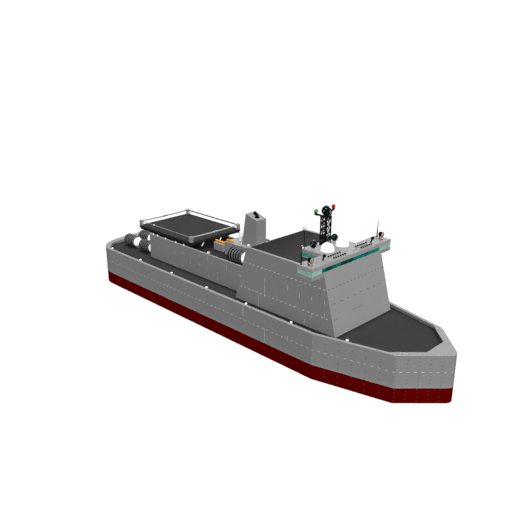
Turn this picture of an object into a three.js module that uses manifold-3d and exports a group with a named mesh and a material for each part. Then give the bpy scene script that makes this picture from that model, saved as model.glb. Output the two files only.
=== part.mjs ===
// Flat-bottomed military landing craft, a full-size steel vessel about 31.7 m long.
// Millimetres, +X towards the bow, +Y to port, +Z up. The origin is on the flat bottom, under the middle of the craft's box.
// Fore-and-aft places are stations, counted in frame spacings from the bow shoulder where the parallel sides end.
import * as THREE from "three";
import { mergeVertices } from "three/addons/utils/BufferGeometryUtils.js";
import Module from "manifold-3d";

// ---------------------------------------------------------------- driving dimensions
const FRAME = 500; // frame spacing: stations, half-breadths and levels below are in frames unless they say mm
const BOW_TIP = 14.6, // station of the nose
  STERN_END = -48.7; // station of the transom's middle
const MID = (BOW_TIP + STERN_END) / 2; // station over the origin
const HALF_BEAM = 7.5,
  BOOT_LEVEL = 2, // top of the red bottom paint
  DECK_LEVEL = 5.69,
  BULWARK_TOP = 6.1,
  BULWARK_THICK = 0.42;
const STERN_SHOULDER = -44, // where the sides start to round into the stern
  STERN_EXP = 2.4; // superellipse exponent of the stern's plan
const BOW_KNUCKLE = [10, 5], // station and half-breadth where the 4:1 taper meets the 45 degree bow plates
  NOSE_R = 0.95;
const GAP = 0.4; // mm between pieces that touch

const HOUSE = { half: 5.8, foot: [2.1, 5.72], head: [0.0, 13.4], aftHead: [-13.1, 13.4], aftFoot: [-15.2, 5.72], coaming: 13.52, coamIn: 5.45 };
const AFT_HOUSE = { x0: -37.3, x1: -15.75, half: 4.1, roof: 9.4, coaming: 9.62, coamIn: 3.85 };
const BRIDGE = { half: 7.95, wing: 2.35, wheel: 3.2, aft: -5.8, floor: 12.98, sill: 13.46, head: 14.0, top: 14.46 };
const CASING = { x0: -21.7, half: 1.85, top: 11.4 };
const FUNNEL = { x1: -16.05, aftTop: -18.2, aftFoot: -19.0, half: 0.95, top: 15.64, topFore: 15.42, topAft: 16.08 };
const PLATFORM = { x0: -38.65, x1: -25.65, half: 4.98, under: 10.58, top: 10.95 };
const MAST = { x: -4.6, half: 0.47, foot: 14.47, top: 18.25 };
const REEL_R = 0.93, REEL_R_BIG = 1.0, REEL_LEN = 2.65, REEL_X = [-45.35, -41.1, -18.85]; // after ends of the stern pair and of the roof reels

// ---------------------------------------------------------------- helpers
const wasm = await Module();
wasm.setup();
const X = (s) => (s - MID) * FRAME;
const L = (v) => v * FRAME;

function solid(geometry) {
  let g = geometry.index ? geometry.toNonIndexed() : geometry.clone();
  g.deleteAttribute("normal");
  g.deleteAttribute("uv");
  g = mergeVertices(g, 1e-3);
  return new wasm.Manifold(
    new wasm.Mesh({ numProp: 3, vertProperties: new Float32Array(g.attributes.position.array), triVerts: new Uint32Array(g.index.array) }),
  );
}
const join = (...parts) => parts.flat().reduce((a, b) => a.add(b));
const cut = (a, ...tools) => tools.flat().reduce((m, b) => m.subtract(b), a);

function geometryOf(m) {
  const q = m.getMesh();
  const n = q.numProp, pos = new Float32Array(q.numVert * 3);
  for (let i = 0; i < q.numVert; i++) pos.set(q.vertProperties.subarray(i * n, i * n + 3), i * 3);
  const g = new THREE.BufferGeometry().setAttribute("position", new THREE.BufferAttribute(pos, 3)).setIndex(new THREE.BufferAttribute(new Uint32Array(q.triVerts), 1));
  g.computeVertexNormals();
  return g;
}

// a box from corner to corner, in mm
const box = (x0, x1, y0, y1, z0, z1) => solid(new THREE.BoxGeometry(x1 - x0, y1 - y0, z1 - z0).translate((x0 + x1) / 2, (y0 + y1) / 2, (z0 + z1) / 2));
// a box given in frames
const fbox = (x0, x1, y0, y1, z0, z1) => box(X(x0), X(x1), L(y0), L(y1), L(z0), L(z1));
// a plan outline in mm, carried up from z0 to z1
function prism(points, z0, z1) {
  const s = new THREE.Shape(points.map(([x, y]) => new THREE.Vector2(x, y)));
  return solid(new THREE.ExtrudeGeometry(s, { depth: z1 - z0, bevelEnabled: false }).translate(0, 0, z0));
}
// a side profile in mm (x, z), carried across from y0 to y1
function side(points, y0, y1) {
  const s = new THREE.Shape(points.map(([x, z]) => new THREE.Vector2(x, z)));
  return solid(new THREE.ExtrudeGeometry(s, { depth: y1 - y0, bevelEnabled: false }).rotateX(Math.PI / 2).translate(0, y1, 0));
}
const AXES = { x: (g) => g.rotateZ(-Math.PI / 2), y: (g) => g, z: (g) => g.rotateX(Math.PI / 2) };
// a cylinder or cone between two levels along an axis, in mm
function cyl(axis, at, r, len, seg = 24, r2 = r) {
  const g = AXES[axis](new THREE.CylinderGeometry(r2, r, len, seg));
  return solid(g.translate(at[0], at[1], at[2]));
}
const ball = (at, r, w = 16, h = 10) => solid(new THREE.SphereGeometry(r, w, h).rotateX(Math.PI / 2).translate(...at));
// a body of revolution about X or Z; profile is [radius, place along the axis]
function lathe(axis, profile, at, seg = 24) {
  const g = new THREE.LatheGeometry(profile.map(([r, h]) => new THREE.Vector2(r, h)), seg);
  return solid(AXES[axis](g).translate(...at));
}
// a straight bar of square or round section between two points
function bar(a, b, r, seg = 4) {
  const A = new THREE.Vector3(...a), B = new THREE.Vector3(...b), d = B.clone().sub(A);
  const g = new THREE.CylinderGeometry(r, r, d.length(), seg);
  g.applyQuaternion(new THREE.Quaternion().setFromUnitVectors(new THREE.Vector3(0, 1, 0), d.normalize()));
  return solid(g.translate((A.x + B.x) / 2, (A.y + B.y) / 2, (A.z + B.z) / 2));
}
// a bent round tube along points
function pipe(points, r, seg = 12, steps = 16) {
  const c = new THREE.CatmullRomCurve3(points.map((p) => new THREE.Vector3(...p)), false, "centripetal");
  const s = new THREE.Shape();
  for (let i = 0; i < seg; i++) {
    const a = (i / seg) * 2 * Math.PI;
    i ? s.lineTo(r * Math.cos(a), r * Math.sin(a)) : s.moveTo(r * Math.cos(a), r * Math.sin(a));
  }
  return solid(new THREE.ExtrudeGeometry(s, { steps, bevelEnabled: false, extrudePath: c }));
}

const paint = (hex, roughness = 0.55, metalness = 0) => new THREE.MeshStandardMaterial({ color: hex, roughness, metalness });
const GREY = paint(0x8f8f8f), RED = paint(0x6a0404), DARK = paint(0x3d3d3d, 0.85), BLACK = paint(0x101010, 0.5), WHITE = paint(0xf2f2f0, 0.35);
const GLASS = new THREE.MeshStandardMaterial({ color: 0x0a7a6c, roughness: 0.1, metalness: 0, transparent: true, opacity: 0.45 });
const ORANGE = paint(0xff9500, 0.5), GREEN = paint(0x35c400, 0.25), LAMP_RED = paint(0xe00000, 0.25), NAVY = paint(0x0a1433, 0.6), BRONZE = paint(0xa8743a, 0.35, 0.9), STEEL = paint(0x6d7072, 0.45, 0.6);

const root = new THREE.Group();
function put(name, m, material) {
  const mesh = new THREE.Mesh(geometryOf(m), material);
  mesh.name = name;
  root.add(mesh);
  return mesh;
}

// ---------------------------------------------------------------- hull
// Half of the hull's outline at the side, port half from the stern's middle to the nose; inset moves it inwards.
function hullOutline() {
  const pts = [];
  const a = STERN_SHOULDER - STERN_END, N = 12;
  for (let i = 0; i <= N; i++) {
    const t = (i / N) * (Math.PI / 2);
    const y = HALF_BEAM * Math.pow(Math.sin(t), 2 / STERN_EXP), x = STERN_SHOULDER - a * Math.pow(Math.cos(t), 2 / STERN_EXP);
    if (i > 0) pts.push([x, y]);
  }
  pts.push([0, HALF_BEAM], BOW_KNUCKLE);
  const c = BOW_TIP - NOSE_R; // the nose is a round bar between the bow plates
  for (let i = 0; i <= 4; i++) {
    const t = (Math.PI / 4) * (1 - i / 4);
    pts.push([c + NOSE_R * Math.cos(t), NOSE_R * Math.sin(t)]);
  }
  const port = pts.map(([x, y]) => [X(x), L(y)]);
  const starboard = port.slice(0, -1).reverse().map(([x, y]) => [x, -y]);
  return [...port, ...starboard, [X(STERN_END), 0]];
}
// The deck's outline inside the bulwark: wide margins at the stern and a broad triangular plate at the nose.
function deckOutline(inset = 0) {
  const q = L(HALF_BEAM - BULWARK_THICK) - inset;
  const port = [
    [X(-47.15) + inset, L(2.6)],
    [X(-47.05) + inset, L(4.5)],
    [X(-46.5) + inset, L(5.55)],
    [X(-45.6) + inset * 0.7, L(6.4) - inset * 0.7],
    [X(-44.4), q],
    [X(0) - inset, q],
    [X(8.95) - inset * 0.6, L(4.87) - inset * 0.6],
    [X(12) - inset, L(1.82) - inset * 0.4],
  ];
  return [...port, ...[...port].reverse().map(([x, y]) => [x, -y])];
}
const OUT = hullOutline();

// Propeller tunnels, open to the water below and astern.
const TUNNEL = { x: -42.2, y0: 1.55, y1: 4.65, top: 1.9 };
const tunnels = [1, -1].map((s) => fbox(STERN_END - 1, TUNNEL.x, s > 0 ? TUNNEL.y0 : -TUNNEL.y1, s > 0 ? TUNNEL.y1 : -TUNNEL.y0, -0.1, TUNNEL.top));
put("hull_bottom", cut(prism(OUT, 0, L(BOOT_LEVEL)), tunnels), RED);
put("hull_sides", prism(OUT, L(BOOT_LEVEL) + GAP, L(5.4)), GREY);
put("bulwark", cut(prism(OUT, L(5.4) + GAP, L(BULWARK_TOP)), prism(deckOutline(0), L(5.3), L(BULWARK_TOP + 0.2))), GREY);
put("main_deck", prism(deckOutline(2), L(5.4) + GAP, L(DECK_LEVEL)), DARK);

// ---------------------------------------------------------------- deckhouse
const H = HOUSE;
const rake = (z, a, b) => a[0] + ((b[0] - a[0]) * (z - a[1])) / (b[1] - a[1]);
const houseProfile = [H.aftFoot, H.foot, H.head, H.aftHead].map(([x, z]) => [X(x), L(z)]);
const profileTo = (z) => [
  [X(H.aftFoot[0]), L(H.aftFoot[1])],
  [X(H.foot[0]), L(H.foot[1])],
  [X(rake(z, H.foot, H.head)), L(z)],
  [X(rake(z, H.aftFoot, H.aftHead)), L(z)],
];
// wheelhouse well: the standing floor is sunk into the house, under the bridge's low windows
const WELL = { floor: 10.2, x0: -5.5, x1: -0.45, half: 3.0, wide: 5.3, xWide: -2.1 };
const well = join(
  fbox(WELL.x0, WELL.x1, -WELL.half, WELL.half, WELL.floor, 14),
  fbox(WELL.xWide, WELL.x1, -WELL.wide, WELL.wide, WELL.floor, 14),
);
const roofCut = fbox(-30, BRIDGE.aft - 0.02, -H.coamIn, H.coamIn, H.head[1], 14);
const roofCutSides = [1, -1].map((s) => fbox(BRIDGE.aft - 0.1, -BRIDGE.wing - 0.05, s > 0 ? BRIDGE.wheel + 0.02 : -H.coamIn, s > 0 ? H.coamIn : -BRIDGE.wheel - 0.02, H.head[1], 14));
let house = side(profileTo(BRIDGE.sill - 0.01), -L(H.half), L(H.half));
house = cut(house, well, roofCut, roofCutSides);
// raised coamings along both roof edges, from the bridge aft
const coamingBars = [1, -1].map((s) => side([[X(rake(13.3, H.aftFoot, H.aftHead)), L(13.3)], [X(-BRIDGE.wing - 0.06), L(13.3)], [X(-BRIDGE.wing - 0.06), L(H.coaming)], [X(rake(H.coaming, H.aftFoot, H.aftHead)), L(H.coaming)]], s > 0 ? L(H.coamIn) : -L(H.half), s > 0 ? L(H.half) : -L(H.coamIn)));
house = join(house, coamingBars);
put("deckhouse", house, GREY);
// dark walking surface laid on the roof, round the wheelhouse
const ROOF_T = 0.06;
const roofSheet = cut(
  fbox(-12.85, -BRIDGE.wing - 0.08, -H.coamIn + 0.02, H.coamIn - 0.02, H.head[1] + 0.001, H.head[1] + ROOF_T),
  fbox(BRIDGE.aft - 0.05, 0, -BRIDGE.wheel - 0.05, BRIDGE.wheel + 0.05, 13, 14),
);
put("deckhouse_roof", roofSheet, DARK);

// ---------------------------------------------------------------- aft house
const A = AFT_HOUSE;
const DOOR = { half: 0.72, z0: 6.1, z1: 9.1 };
let aftHouse = fbox(A.x0, A.x1, -A.half, A.half, 0, A.coaming).intersect(fbox(A.x0, A.x1, -A.half, A.half, DECK_LEVEL + 0.001, A.coaming));
aftHouse = cut(
  aftHouse,
  fbox(A.x0 + 0.25, A.x1 + 1, -A.coamIn, A.coamIn, A.roof, 11), // roof recess inside the coamings
  fbox(A.x0 - 1, A.x0 + 0.3, -DOOR.half, DOOR.half, DOOR.z0, DOOR.z1), // doorway
  fbox(A.x0 + 0.2, A.x0 + 4.2, -1.5, 1.5, DECK_LEVEL + 0.12, 9.15), // lobby behind it
);
// keep clear of the deckhouse's raked after face
aftHouse = cut(aftHouse, side([[X(-16.4), L(5)], [X(-10), L(5)], [X(-10), L(10)], [X(-14.2) , L(10)]].map(([x, z]) => [x, z]), -L(5), L(5)).intersect(side(profileTo(13.3).map(([x, z], i) => [x - (i === 0 || i === 3 ? 6 : 0), z]), -L(5), L(5))));
// hinge lugs beside the door
const HINGE = { y: -0.86, x: A.x0 - 0.075 }; // pin line: station and half-breadth
const lugAt = [6.55, 7.55, 8.55];
const lugs = lugAt.map((z) => box(X(A.x0) - 52, X(A.x0) + 10, L(-0.98), L(-0.80), L(z) + 48, L(z) + 78));
put("aft_house", join(aftHouse, lugs), GREY);
put("aft_house_roof", fbox(A.x0 + 0.27, A.x1 - 0.02, -A.coamIn + 0.02, A.coamIn - 0.02, A.roof + 0.001, A.roof + ROOF_T).intersect(fbox(-60, -15.9, -5, 5, 9, 10)), DARK);
// the weathertight door stands just outside the doorway, on three hinge barrels
const doorLeaf = box(X(A.x0) - 58, X(A.x0) - 8, L(-0.80) + 12, L(0.82), L(5.98), L(9.22));
const barrels = lugAt.map((z) => join(cyl("z", [X(HINGE.x), L(HINGE.y), L(z)], 18, 80, 14), box(X(HINGE.x) - 12, X(HINGE.x) + 6, L(HINGE.y), L(-0.80) + 20, L(z) - 36, L(z) + 36)));
put("aft_door", join(doorLeaf, barrels), GREY);

// ---------------------------------------------------------------- bridge
const B = BRIDGE;
for (const s of [1, -1]) {
  const y = (a, b) => (s > 0 ? [a, b] : [-b, -a]);
  const [o0, o1] = y(H.half + 0.002, B.half);
  const [i0, i1] = y(H.half - 1, B.half - 0.16);
  const tray = cut(fbox(-B.wing, 0, o0, o1, B.floor, B.sill), fbox(-B.wing + 0.16, -0.16, i0, i1, B.floor + 0.14, B.sill + 1));
  put(s > 0 ? "bridge_wing_port" : "bridge_wing_starboard", tray, GREY);
}
const tee = (e) => [
  [X(-e), L(-B.half + e)], [X(-e), L(B.half - e)], [X(-B.wing + e), L(B.half - e)], [X(-B.wing + e), L(B.wheel - e)],
  [X(B.aft + e), L(B.wheel - e)], [X(B.aft + e), L(-B.wheel + e)], [X(-B.wing + e), L(-B.wheel + e)], [X(-B.wing + e), L(-B.half + e)],
];
put("bridge_glass", cut(prism(tee(0.04), L(B.sill) + GAP, L(B.head) - GAP), prism(tee(0.11), L(13), L(15))), GLASS);
// the roof slab carries the round seats of the searchlights and the sensor balls
const seats = [1, -1].flatMap((k) => [cyl("z", [X(-4.75), k * L(2.1), L(B.top) + 10], 120, 40, 20), cyl("z", [X(-1.0), k * L(7.1), L(B.top) + 15], 130, 50, 24)]);
put("bridge_roof", join(prism(tee(0), L(B.head), L(B.top)), seats), GREY);
// console across the front of the wheelhouse
put("bridge_console", side([[X(-1.5), L(WELL.floor) + GAP], [X(-0.6), L(WELL.floor) + GAP], [X(-0.6), L(12.6)], [X(-1.1), L(12.45)], [X(-1.5), L(12.0)]], -L(3.6), L(3.6)), BLACK);

// ---------------------------------------------------------------- bridge roof fittings
const RZ = L(B.top) + GAP;
// lattice mast: four posts, rings and crossed braces, with the two short lamp arms at its head
{
  const m = MAST.half, x = X(MAST.x), z0 = RZ, z1 = L(MAST.top), bays = 4, parts = [];
  const c = [[-1, -1], [1, -1], [1, 1], [-1, 1]].map(([a, b]) => [x + a * L(m), b * L(m)]);
  c.forEach(([px, py]) => parts.push(bar([px, py, z0], [px, py, z1], 48, 6)));
  for (let k = 0; k <= bays; k++) {
    const z = z0 + 45 + ((z1 - z0 - 90) * k) / bays;
    for (let i = 0; i < 4; i++) {
      const p = c[i], q = c[(i + 1) % 4];
      parts.push(bar([...p, z], [...q, z], 32, 3));
      if (k < bays) {
        const zn = z0 + 45 + ((z1 - z0 - 90) * (k + 1)) / bays;
        parts.push(bar([...p, z], [...q, zn], 30, 3), bar([...q, z], [...p, zn], 30, 3));
      }
    }
  }
  parts.push(box(x - L(m) - 38, x + L(m) + 38, -L(m) - 38, L(m) + 38, z1 - 30, z1 + 40)); // head plate
  for (const s of [1, -1]) {
    parts.push(bar([x, s * L(0.45), z1 - 10], [x - 120, s * L(1.55), L(18.74)], 52, 8));
    parts.push(cyl("z", [x - 120, s * L(1.72), 9425], 95, 90, 16));
    parts.push(bar([x - 120, s * L(1.5), L(18.73)], [x - 120, s * L(1.75), L(18.76)], 46, 8));
  }
  put("lattice_mast", join(parts), BLACK);
}
put("starboard_light", ball([X(MAST.x) - 120, -L(1.72), 9592], 118, 14, 8).add(cyl("z", [X(MAST.x) - 120, -L(1.72), 9482], 70, 20, 16)), GREEN);
put("port_light", ball([X(MAST.x) - 120, L(1.72), 9592], 118, 14, 8).add(cyl("z", [X(MAST.x) - 120, L(1.72), 9482], 70, 20, 16)), LAMP_RED);
// turning optical head on the mast
const HEAD_Z = 18.98;
{
  const at = [X(MAST.x), 0, L(HEAD_Z)];
  put("mast_sensor", join(ball(at, L(0.6), 18, 10), cyl("z", [at[0], 0, L(MAST.top) + 46 + 45], 120, 90, 16), cyl("z", [at[0], 0, L(HEAD_Z + 0.63)], 55, 60, 14), cyl("x", [at[0] + L(0.5), 0, at[2]], L(0.3), L(0.3), 16)), BLACK);
}
for (const s of [1, -1]) {
  const n = s > 0 ? "port" : "starboard";
  // sensor ball on a pedestal
  const sx = X(-4.75), sy = s * L(2.1);
  put("sensor_ball_" + n, join(ball([sx, sy, L(14.98)], L(0.42), 16, 8), cyl("z", [sx, sy, RZ + 36 + 25], 80, 50, 16), cyl("z", [sx, sy, L(15.44)], 45, 50, 12), cyl("x", [sx + L(0.36), sy, L(14.98)], L(0.22), L(0.2), 14)), BLACK);
  // radome: short drum with a hemispherical cap
  const R = L(0.87), prof = [[0, 0], [R, 0], [R, L(0.14)]];
  for (let i = 1; i <= 6; i++) prof.push([i === 6 ? 0 : R * Math.cos((i / 6) * (Math.PI / 2)), L(0.14) + R * Math.sin((i / 6) * (Math.PI / 2))]);
  put("radome_" + n, lathe("z", prof.map(([r, h]) => [r, -h]).reverse(), [0, 0, 0], 24).rotate([180, 0, 0]).translate([X(-3.0), s * L(1.5), RZ]), WHITE);
  // searchlight: turning yoke and tilting lamp drum
  const lx = X(-1.0), ly = s * L(7.1), lz = L(15.12);
  const arms = [1, -1].map((k) => box(lx - 35, lx + 35, ly + (k > 0 ? 196 : -216), ly + (k > 0 ? 216 : -196), RZ + 60, lz + 45));
  put("searchlight_yoke_" + n, join(cyl("z", [lx, ly, RZ + 40 + 6 + 12], 90, 24, 20), box(lx - 35, lx + 35, ly - 216, ly + 216, RZ + 58, RZ + 78), arms), BLACK);
  put("searchlight_" + n, join(cyl("x", [lx + 5, ly, lz], 165, 250, 20), cyl("x", [lx - 145, ly, lz], 100, 60, 20, 164), cyl("y", [lx, ly, lz], 22, 388, 14)), BLACK);
  // compass repeater / lookout camera on a bent post
  const cx = X(-0.95), cy = s * L(4.85);
  put("bearing_sight_" + n, join(cyl("z", [cx, cy, RZ + 12], 95, 24, 20), bar([cx, cy, RZ + 10], [cx + 90, cy, L(15.05)], 34, 8), box(cx + 20, cx + 180, cy - 62, cy + 62, L(15.0), L(15.28))), BLACK);
  // pair of louvred roof ventilators on one curb
  const y0 = s > 0 ? L(2.0) : -L(3.46), y1 = s > 0 ? L(4.35) : -L(1.05);
  put("roof_vent_" + n, join(box(X(-1.55), X(-0.3), y0, y1, RZ, RZ + 14), box(X(-1.5), X(-1.12), y0 + 20, y1 - 20, RZ, RZ + 52), box(X(-0.72), X(-0.36), y0 + 20, y1 - 20, RZ, RZ + 52)), STEEL);
  // whip antenna on the after corner of each wing
  const wx = X(-1.95), wy = s * L(7.6);
  put("whip_antenna_" + n, join(cyl("z", [wx, wy, RZ + 30], 55, 60, 14), bar([wx, wy, RZ + 40], [wx, wy, L(15.5)], 26, 8), bar([wx, wy, L(15.4)], [wx, wy, L(16.8)], 11, 8)), BLACK);
}
// direction-finding loop on a pole at the wheelhouse's after corner
{
  const x = X(-5.55), y = -L(2.95), z = RZ;
  const ring = solid(new THREE.TorusGeometry(110, 16, 6, 14).rotateX(Math.PI / 2).translate(x, y, L(16.9) + 110));
  put("loop_antenna", join(cyl("z", [x, y, z + 20], 60, 40, 14), bar([x, y, z + 30], [x, y, L(16.9) + 4], 20, 8), ring), BLACK);
}

// ---------------------------------------------------------------- engine casing, funnel, exhaust
const CZ = L(A.roof + ROOF_T) + GAP;
const back = (z) => rake(z, H.aftFoot, H.aftHead) - 0.05;
put("engine_casing", side([[X(CASING.x0), CZ], [X(back(9.46)), CZ], [X(back(CASING.top)), L(CASING.top)], [X(CASING.x0), L(CASING.top)]], -L(CASING.half), L(CASING.half)).subtract(fbox(A.x1 - 0.15, -10, -5, 5, 9, 9.47)), GREY);
{
  const f = FUNNEL, z0 = L(CASING.top) + GAP;
  const bores = [cyl("z", [X(-16.75), -60, L(f.top)], 122, 400, 20)];
  put("funnel", cut(side([[X(f.aftFoot), z0], [X(f.x1), z0], [X(f.x1), L(f.topFore)], [X(f.aftTop), L(f.topAft)]], -L(f.half), L(f.half)), bores), GREY);
  put("exhaust_pipe", pipe([[X(-16.75), -60, L(f.top) - 195], [X(-16.75), -60, L(f.top) - 60], [X(-16.75), -60, L(15.8)], [X(-16.8), -60, L(15.95)], [X(-17.0), -60, L(16.12)], [X(-17.3), -60, L(16.26)]], 102, 10, 10), BLACK);
}

// ---------------------------------------------------------------- raised platform
{
  const p = PLATFORM;
  put("upper_platform", fbox(p.x0, p.x1, -p.half, p.half, p.under, p.top), DARK);
  // pillars from the aft house's roof, joined by beams under the platform
  const cols = [], zs = CZ, zt = L(p.under) - GAP;
  const xs = [-36.2, -31.5, -26.8];
  for (const x of xs) {
    for (const s of [1, -1]) cols.push(box(X(x) - 75, X(x) + 75, s * L(3.3) - 75, s * L(3.3) + 75, zs, zt));
    cols.push(box(X(x) - 60, X(x) + 60, -L(4.4), L(4.4), zt - 110, zt));
  }
  for (const s of [1, -1]) cols.push(box(X(-37.2), X(-25.9), s * L(3.3) - 50, s * L(3.3) + 50, zt - 110, zt));
  put("platform_pillars", join(cols), BLACK);
  // corner posts with a low rail of chain and rod round the edge
  const posts = [], t = L(p.top) + GAP, X0 = -38.4, X1 = -25.9, HY = 4.73;
  for (const x of [X0, X1]) for (const s of [1, -1]) posts.push(box(X(x) - 125, X(x) + 125, s * L(HY) - 125, s * L(HY) + 125, t, L(11.8)));
  const rz = L(11.66);
  for (const s of [1, -1]) posts.push(bar([X(X0), s * L(HY), rz], [X(X1), s * L(HY), rz], 26, 6));
  for (const x of [X0, X1]) posts.push(bar([X(x), -L(HY), rz], [X(x), L(HY), rz], 26, 6));
  put("platform_rails", join(posts), GREY);
}

// ---------------------------------------------------------------- deck gear on the aft house
put("deck_locker", box(X(-24.5), X(-22.45), -L(1.55), -L(0.75), CZ, L(10.62)), GREY);
const capsule = (x0, x1, y, z, r) => join(cyl("x", [(X(x0) + X(x1)) / 2, y, z], r, X(x1) - X(x0) - 2 * r, 12), ball([X(x0) + r, y, z], r, 12, 8), ball([X(x1) - r, y, z], r, 12, 8));
put("locker_float", capsule(-24.5, -22.3, -L(1.2), L(10.62) + GAP + 98, 98), ORANGE);
put("casing_float", capsule(-21.65, -20.3, -L(1.45), L(CASING.top) + GAP + 90, 90), ORANGE);
put("deck_pump", join(box(X(-27.6), X(-26.6), L(1.55), L(2.6), CZ, L(9.85)), cyl("x", [X(-27.1), L(2.07), L(9.85)], 125, 480, 16)), NAVY);

// ---------------------------------------------------------------- mooring reels
// Each reel turns on a fore-and-aft axle in a pair of trestles.
function reel(name, xAft, y, z, r) {
  const x0 = X(xAft), len = L(REEL_LEN), cap = r * 0.86;
  const prof = [[0, 0], [r, 0], [r, 40], [r * 0.95, 50], [r * 0.95, len - 50], [r, len - 40], [r, len]];
  for (let i = 0; i <= 4; i++) prof.push([i === 4 ? 0 : cap * Math.cos((i / 4) * (Math.PI / 2)), len + cap * 0.36 * Math.sin((i / 4) * (Math.PI / 2))]);
  const g = new THREE.LatheGeometry(prof.map(([a, b]) => new THREE.Vector2(a, b)), 20).rotateZ(-Math.PI / 2).translate(x0, y, z);
  put(name, solid(g).add(cyl("x", [x0 - 70, y, z], 34, 160, 10)), BLACK);
}
// a saddle under the reel's barrel ends: two trestles on a base frame
function trestles(xAft, y, z, r, foot) {
  const x0 = X(xAft), out = [];
  out.push(box(x0 - 150, x0 - 100, y - 150, y + 150, foot, z + 60).subtract(cyl("x", [x0 - 125, y, z], 36, 120, 12)));
  out.push(box(x0 - 150, x0 + L(REEL_LEN) * 0.55, y - 60, y + 60, foot, foot + 16));
  return out;
}
const DZ = L(DECK_LEVEL) + GAP, RZD = L(DECK_LEVEL) + L(REEL_R) + 26;
const AFT_REELS = [["reel_aft_starboard", REEL_X[0], -2.85], ["reel_fwd_starboard", REEL_X[1], -2.85], ["reel_aft_centre", REEL_X[0], 0], ["reel_aft_port", REEL_X[0], 2.85], ["reel_fwd_port", REEL_X[1], 2.85]];
for (const [n, x, y] of AFT_REELS) reel(n, x, L(y), RZD, L(REEL_R));
put(
  "reel_frame_aft",
  join(
    AFT_REELS.map(([, x, y]) => trestles(x, L(y), RZD, L(REEL_R), DZ)).flat(),
    box(X(REEL_X[0]) - 150, X(REEL_X[0]) - 60, -L(3.2), L(3.2), DZ, DZ + 16),
    [1, -1].map((s) => box(X(REEL_X[0]) - 150, X(REEL_X[1]) - 100, s * L(2.85) - 60, s * L(2.85) + 60, DZ, DZ + 16)),
  ),
  STEEL,
);
const RZH = CZ + L(REEL_R_BIG) + 26;
for (const s of [1, -1]) {
  const n = s > 0 ? "port" : "starboard", y = s * L(2.92);
  reel("reel_house_" + n, REEL_X[2], y, RZH, L(REEL_R_BIG));
  put("reel_frame_house_" + n, join(trestles(REEL_X[2], y, RZH, L(REEL_R_BIG), CZ)), STEEL);
}

// ---------------------------------------------------------------- propellers and rudders in the tunnels
for (const s of [1, -1]) {
  const n = s > 0 ? "port" : "starboard", y = s * L(3.1), z = 520;
  const x = X(-44.4), R = 400;
  const parts = [lathe("x", [[0, -120], [70, -120], [85, -60], [85, 80], [55, 110], [0, 110]], [x, y, z], 20), cyl("x", [(x + X(TUNNEL.x)) / 2, y, z], 45, X(TUNNEL.x) - x - 4, 16)];
  for (let k = 0; k < 4; k++) {
    // an oval blade standing out from the hub, twisted about its own radius
    const b = new THREE.SphereGeometry(1, 10, 6).scale(13, 125, 165);
    b.rotateZ((s * 35 * Math.PI) / 180).translate(0, 0, 228).rotateX((k * Math.PI) / 2);
    parts.push(solid(b.translate(x, y, z)));
  }
  put("propeller_" + n, join(parts), BRONZE);
  // balanced blade rudder on a vertical stock
  const rx = X(-46.2);
  const foil = [[-360, 0], [-120, 32], [60, 42], [150, 30], [180, 0], [150, -30], [60, -42], [-120, -32]].map(([a, b]) => [rx + a, y + b]);
  put("rudder_" + n, join(prism(foil, 110, 850), cyl("z", [rx, y, 895], 36, 106, 16)), STEEL);
}

export default root;
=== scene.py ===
"""Looks for the flat-bottomed landing craft: detailed pieces and procedural finishes laid over its fixed frame."""
import math
import random

import bpy
from mathutils import Matrix, Quaternion, Vector


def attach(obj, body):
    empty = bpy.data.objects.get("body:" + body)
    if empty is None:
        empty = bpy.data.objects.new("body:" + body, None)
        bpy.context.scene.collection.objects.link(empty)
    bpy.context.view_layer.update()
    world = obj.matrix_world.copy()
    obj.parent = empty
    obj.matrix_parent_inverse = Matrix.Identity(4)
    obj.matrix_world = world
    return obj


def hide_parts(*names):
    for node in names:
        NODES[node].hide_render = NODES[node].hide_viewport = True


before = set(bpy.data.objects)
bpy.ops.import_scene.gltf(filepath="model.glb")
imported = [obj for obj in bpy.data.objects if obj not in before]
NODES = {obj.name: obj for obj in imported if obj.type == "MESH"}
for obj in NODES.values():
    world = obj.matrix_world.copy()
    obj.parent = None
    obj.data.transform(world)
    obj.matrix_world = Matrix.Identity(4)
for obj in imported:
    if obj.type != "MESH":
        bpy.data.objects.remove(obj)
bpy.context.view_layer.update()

random.seed(11)

# ------------------------------------------------------------------ frame measures, metres
FR = 0.5  # frame spacing
MID = (14.6 - 48.7) / 2


def X(s):
    return (s - MID) * FR


def L(v):
    return v * FR


# ------------------------------------------------------------------ camera
cam_data = bpy.data.cameras.new("view_camera")
cam_data.sensor_width = 36.0
cam_data.lens = 43.84
cam_data.clip_start = 0.5
cam_data.clip_end = 2000.0
cam = bpy.data.objects.new("view_camera", cam_data)
bpy.context.scene.collection.objects.link(cam)
cam.location = (29.931, -29.700, 19.789)
cam.rotation_euler = (math.radians(70.576), 0.0, math.radians(45.247))
bpy.context.scene.camera = cam


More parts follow.
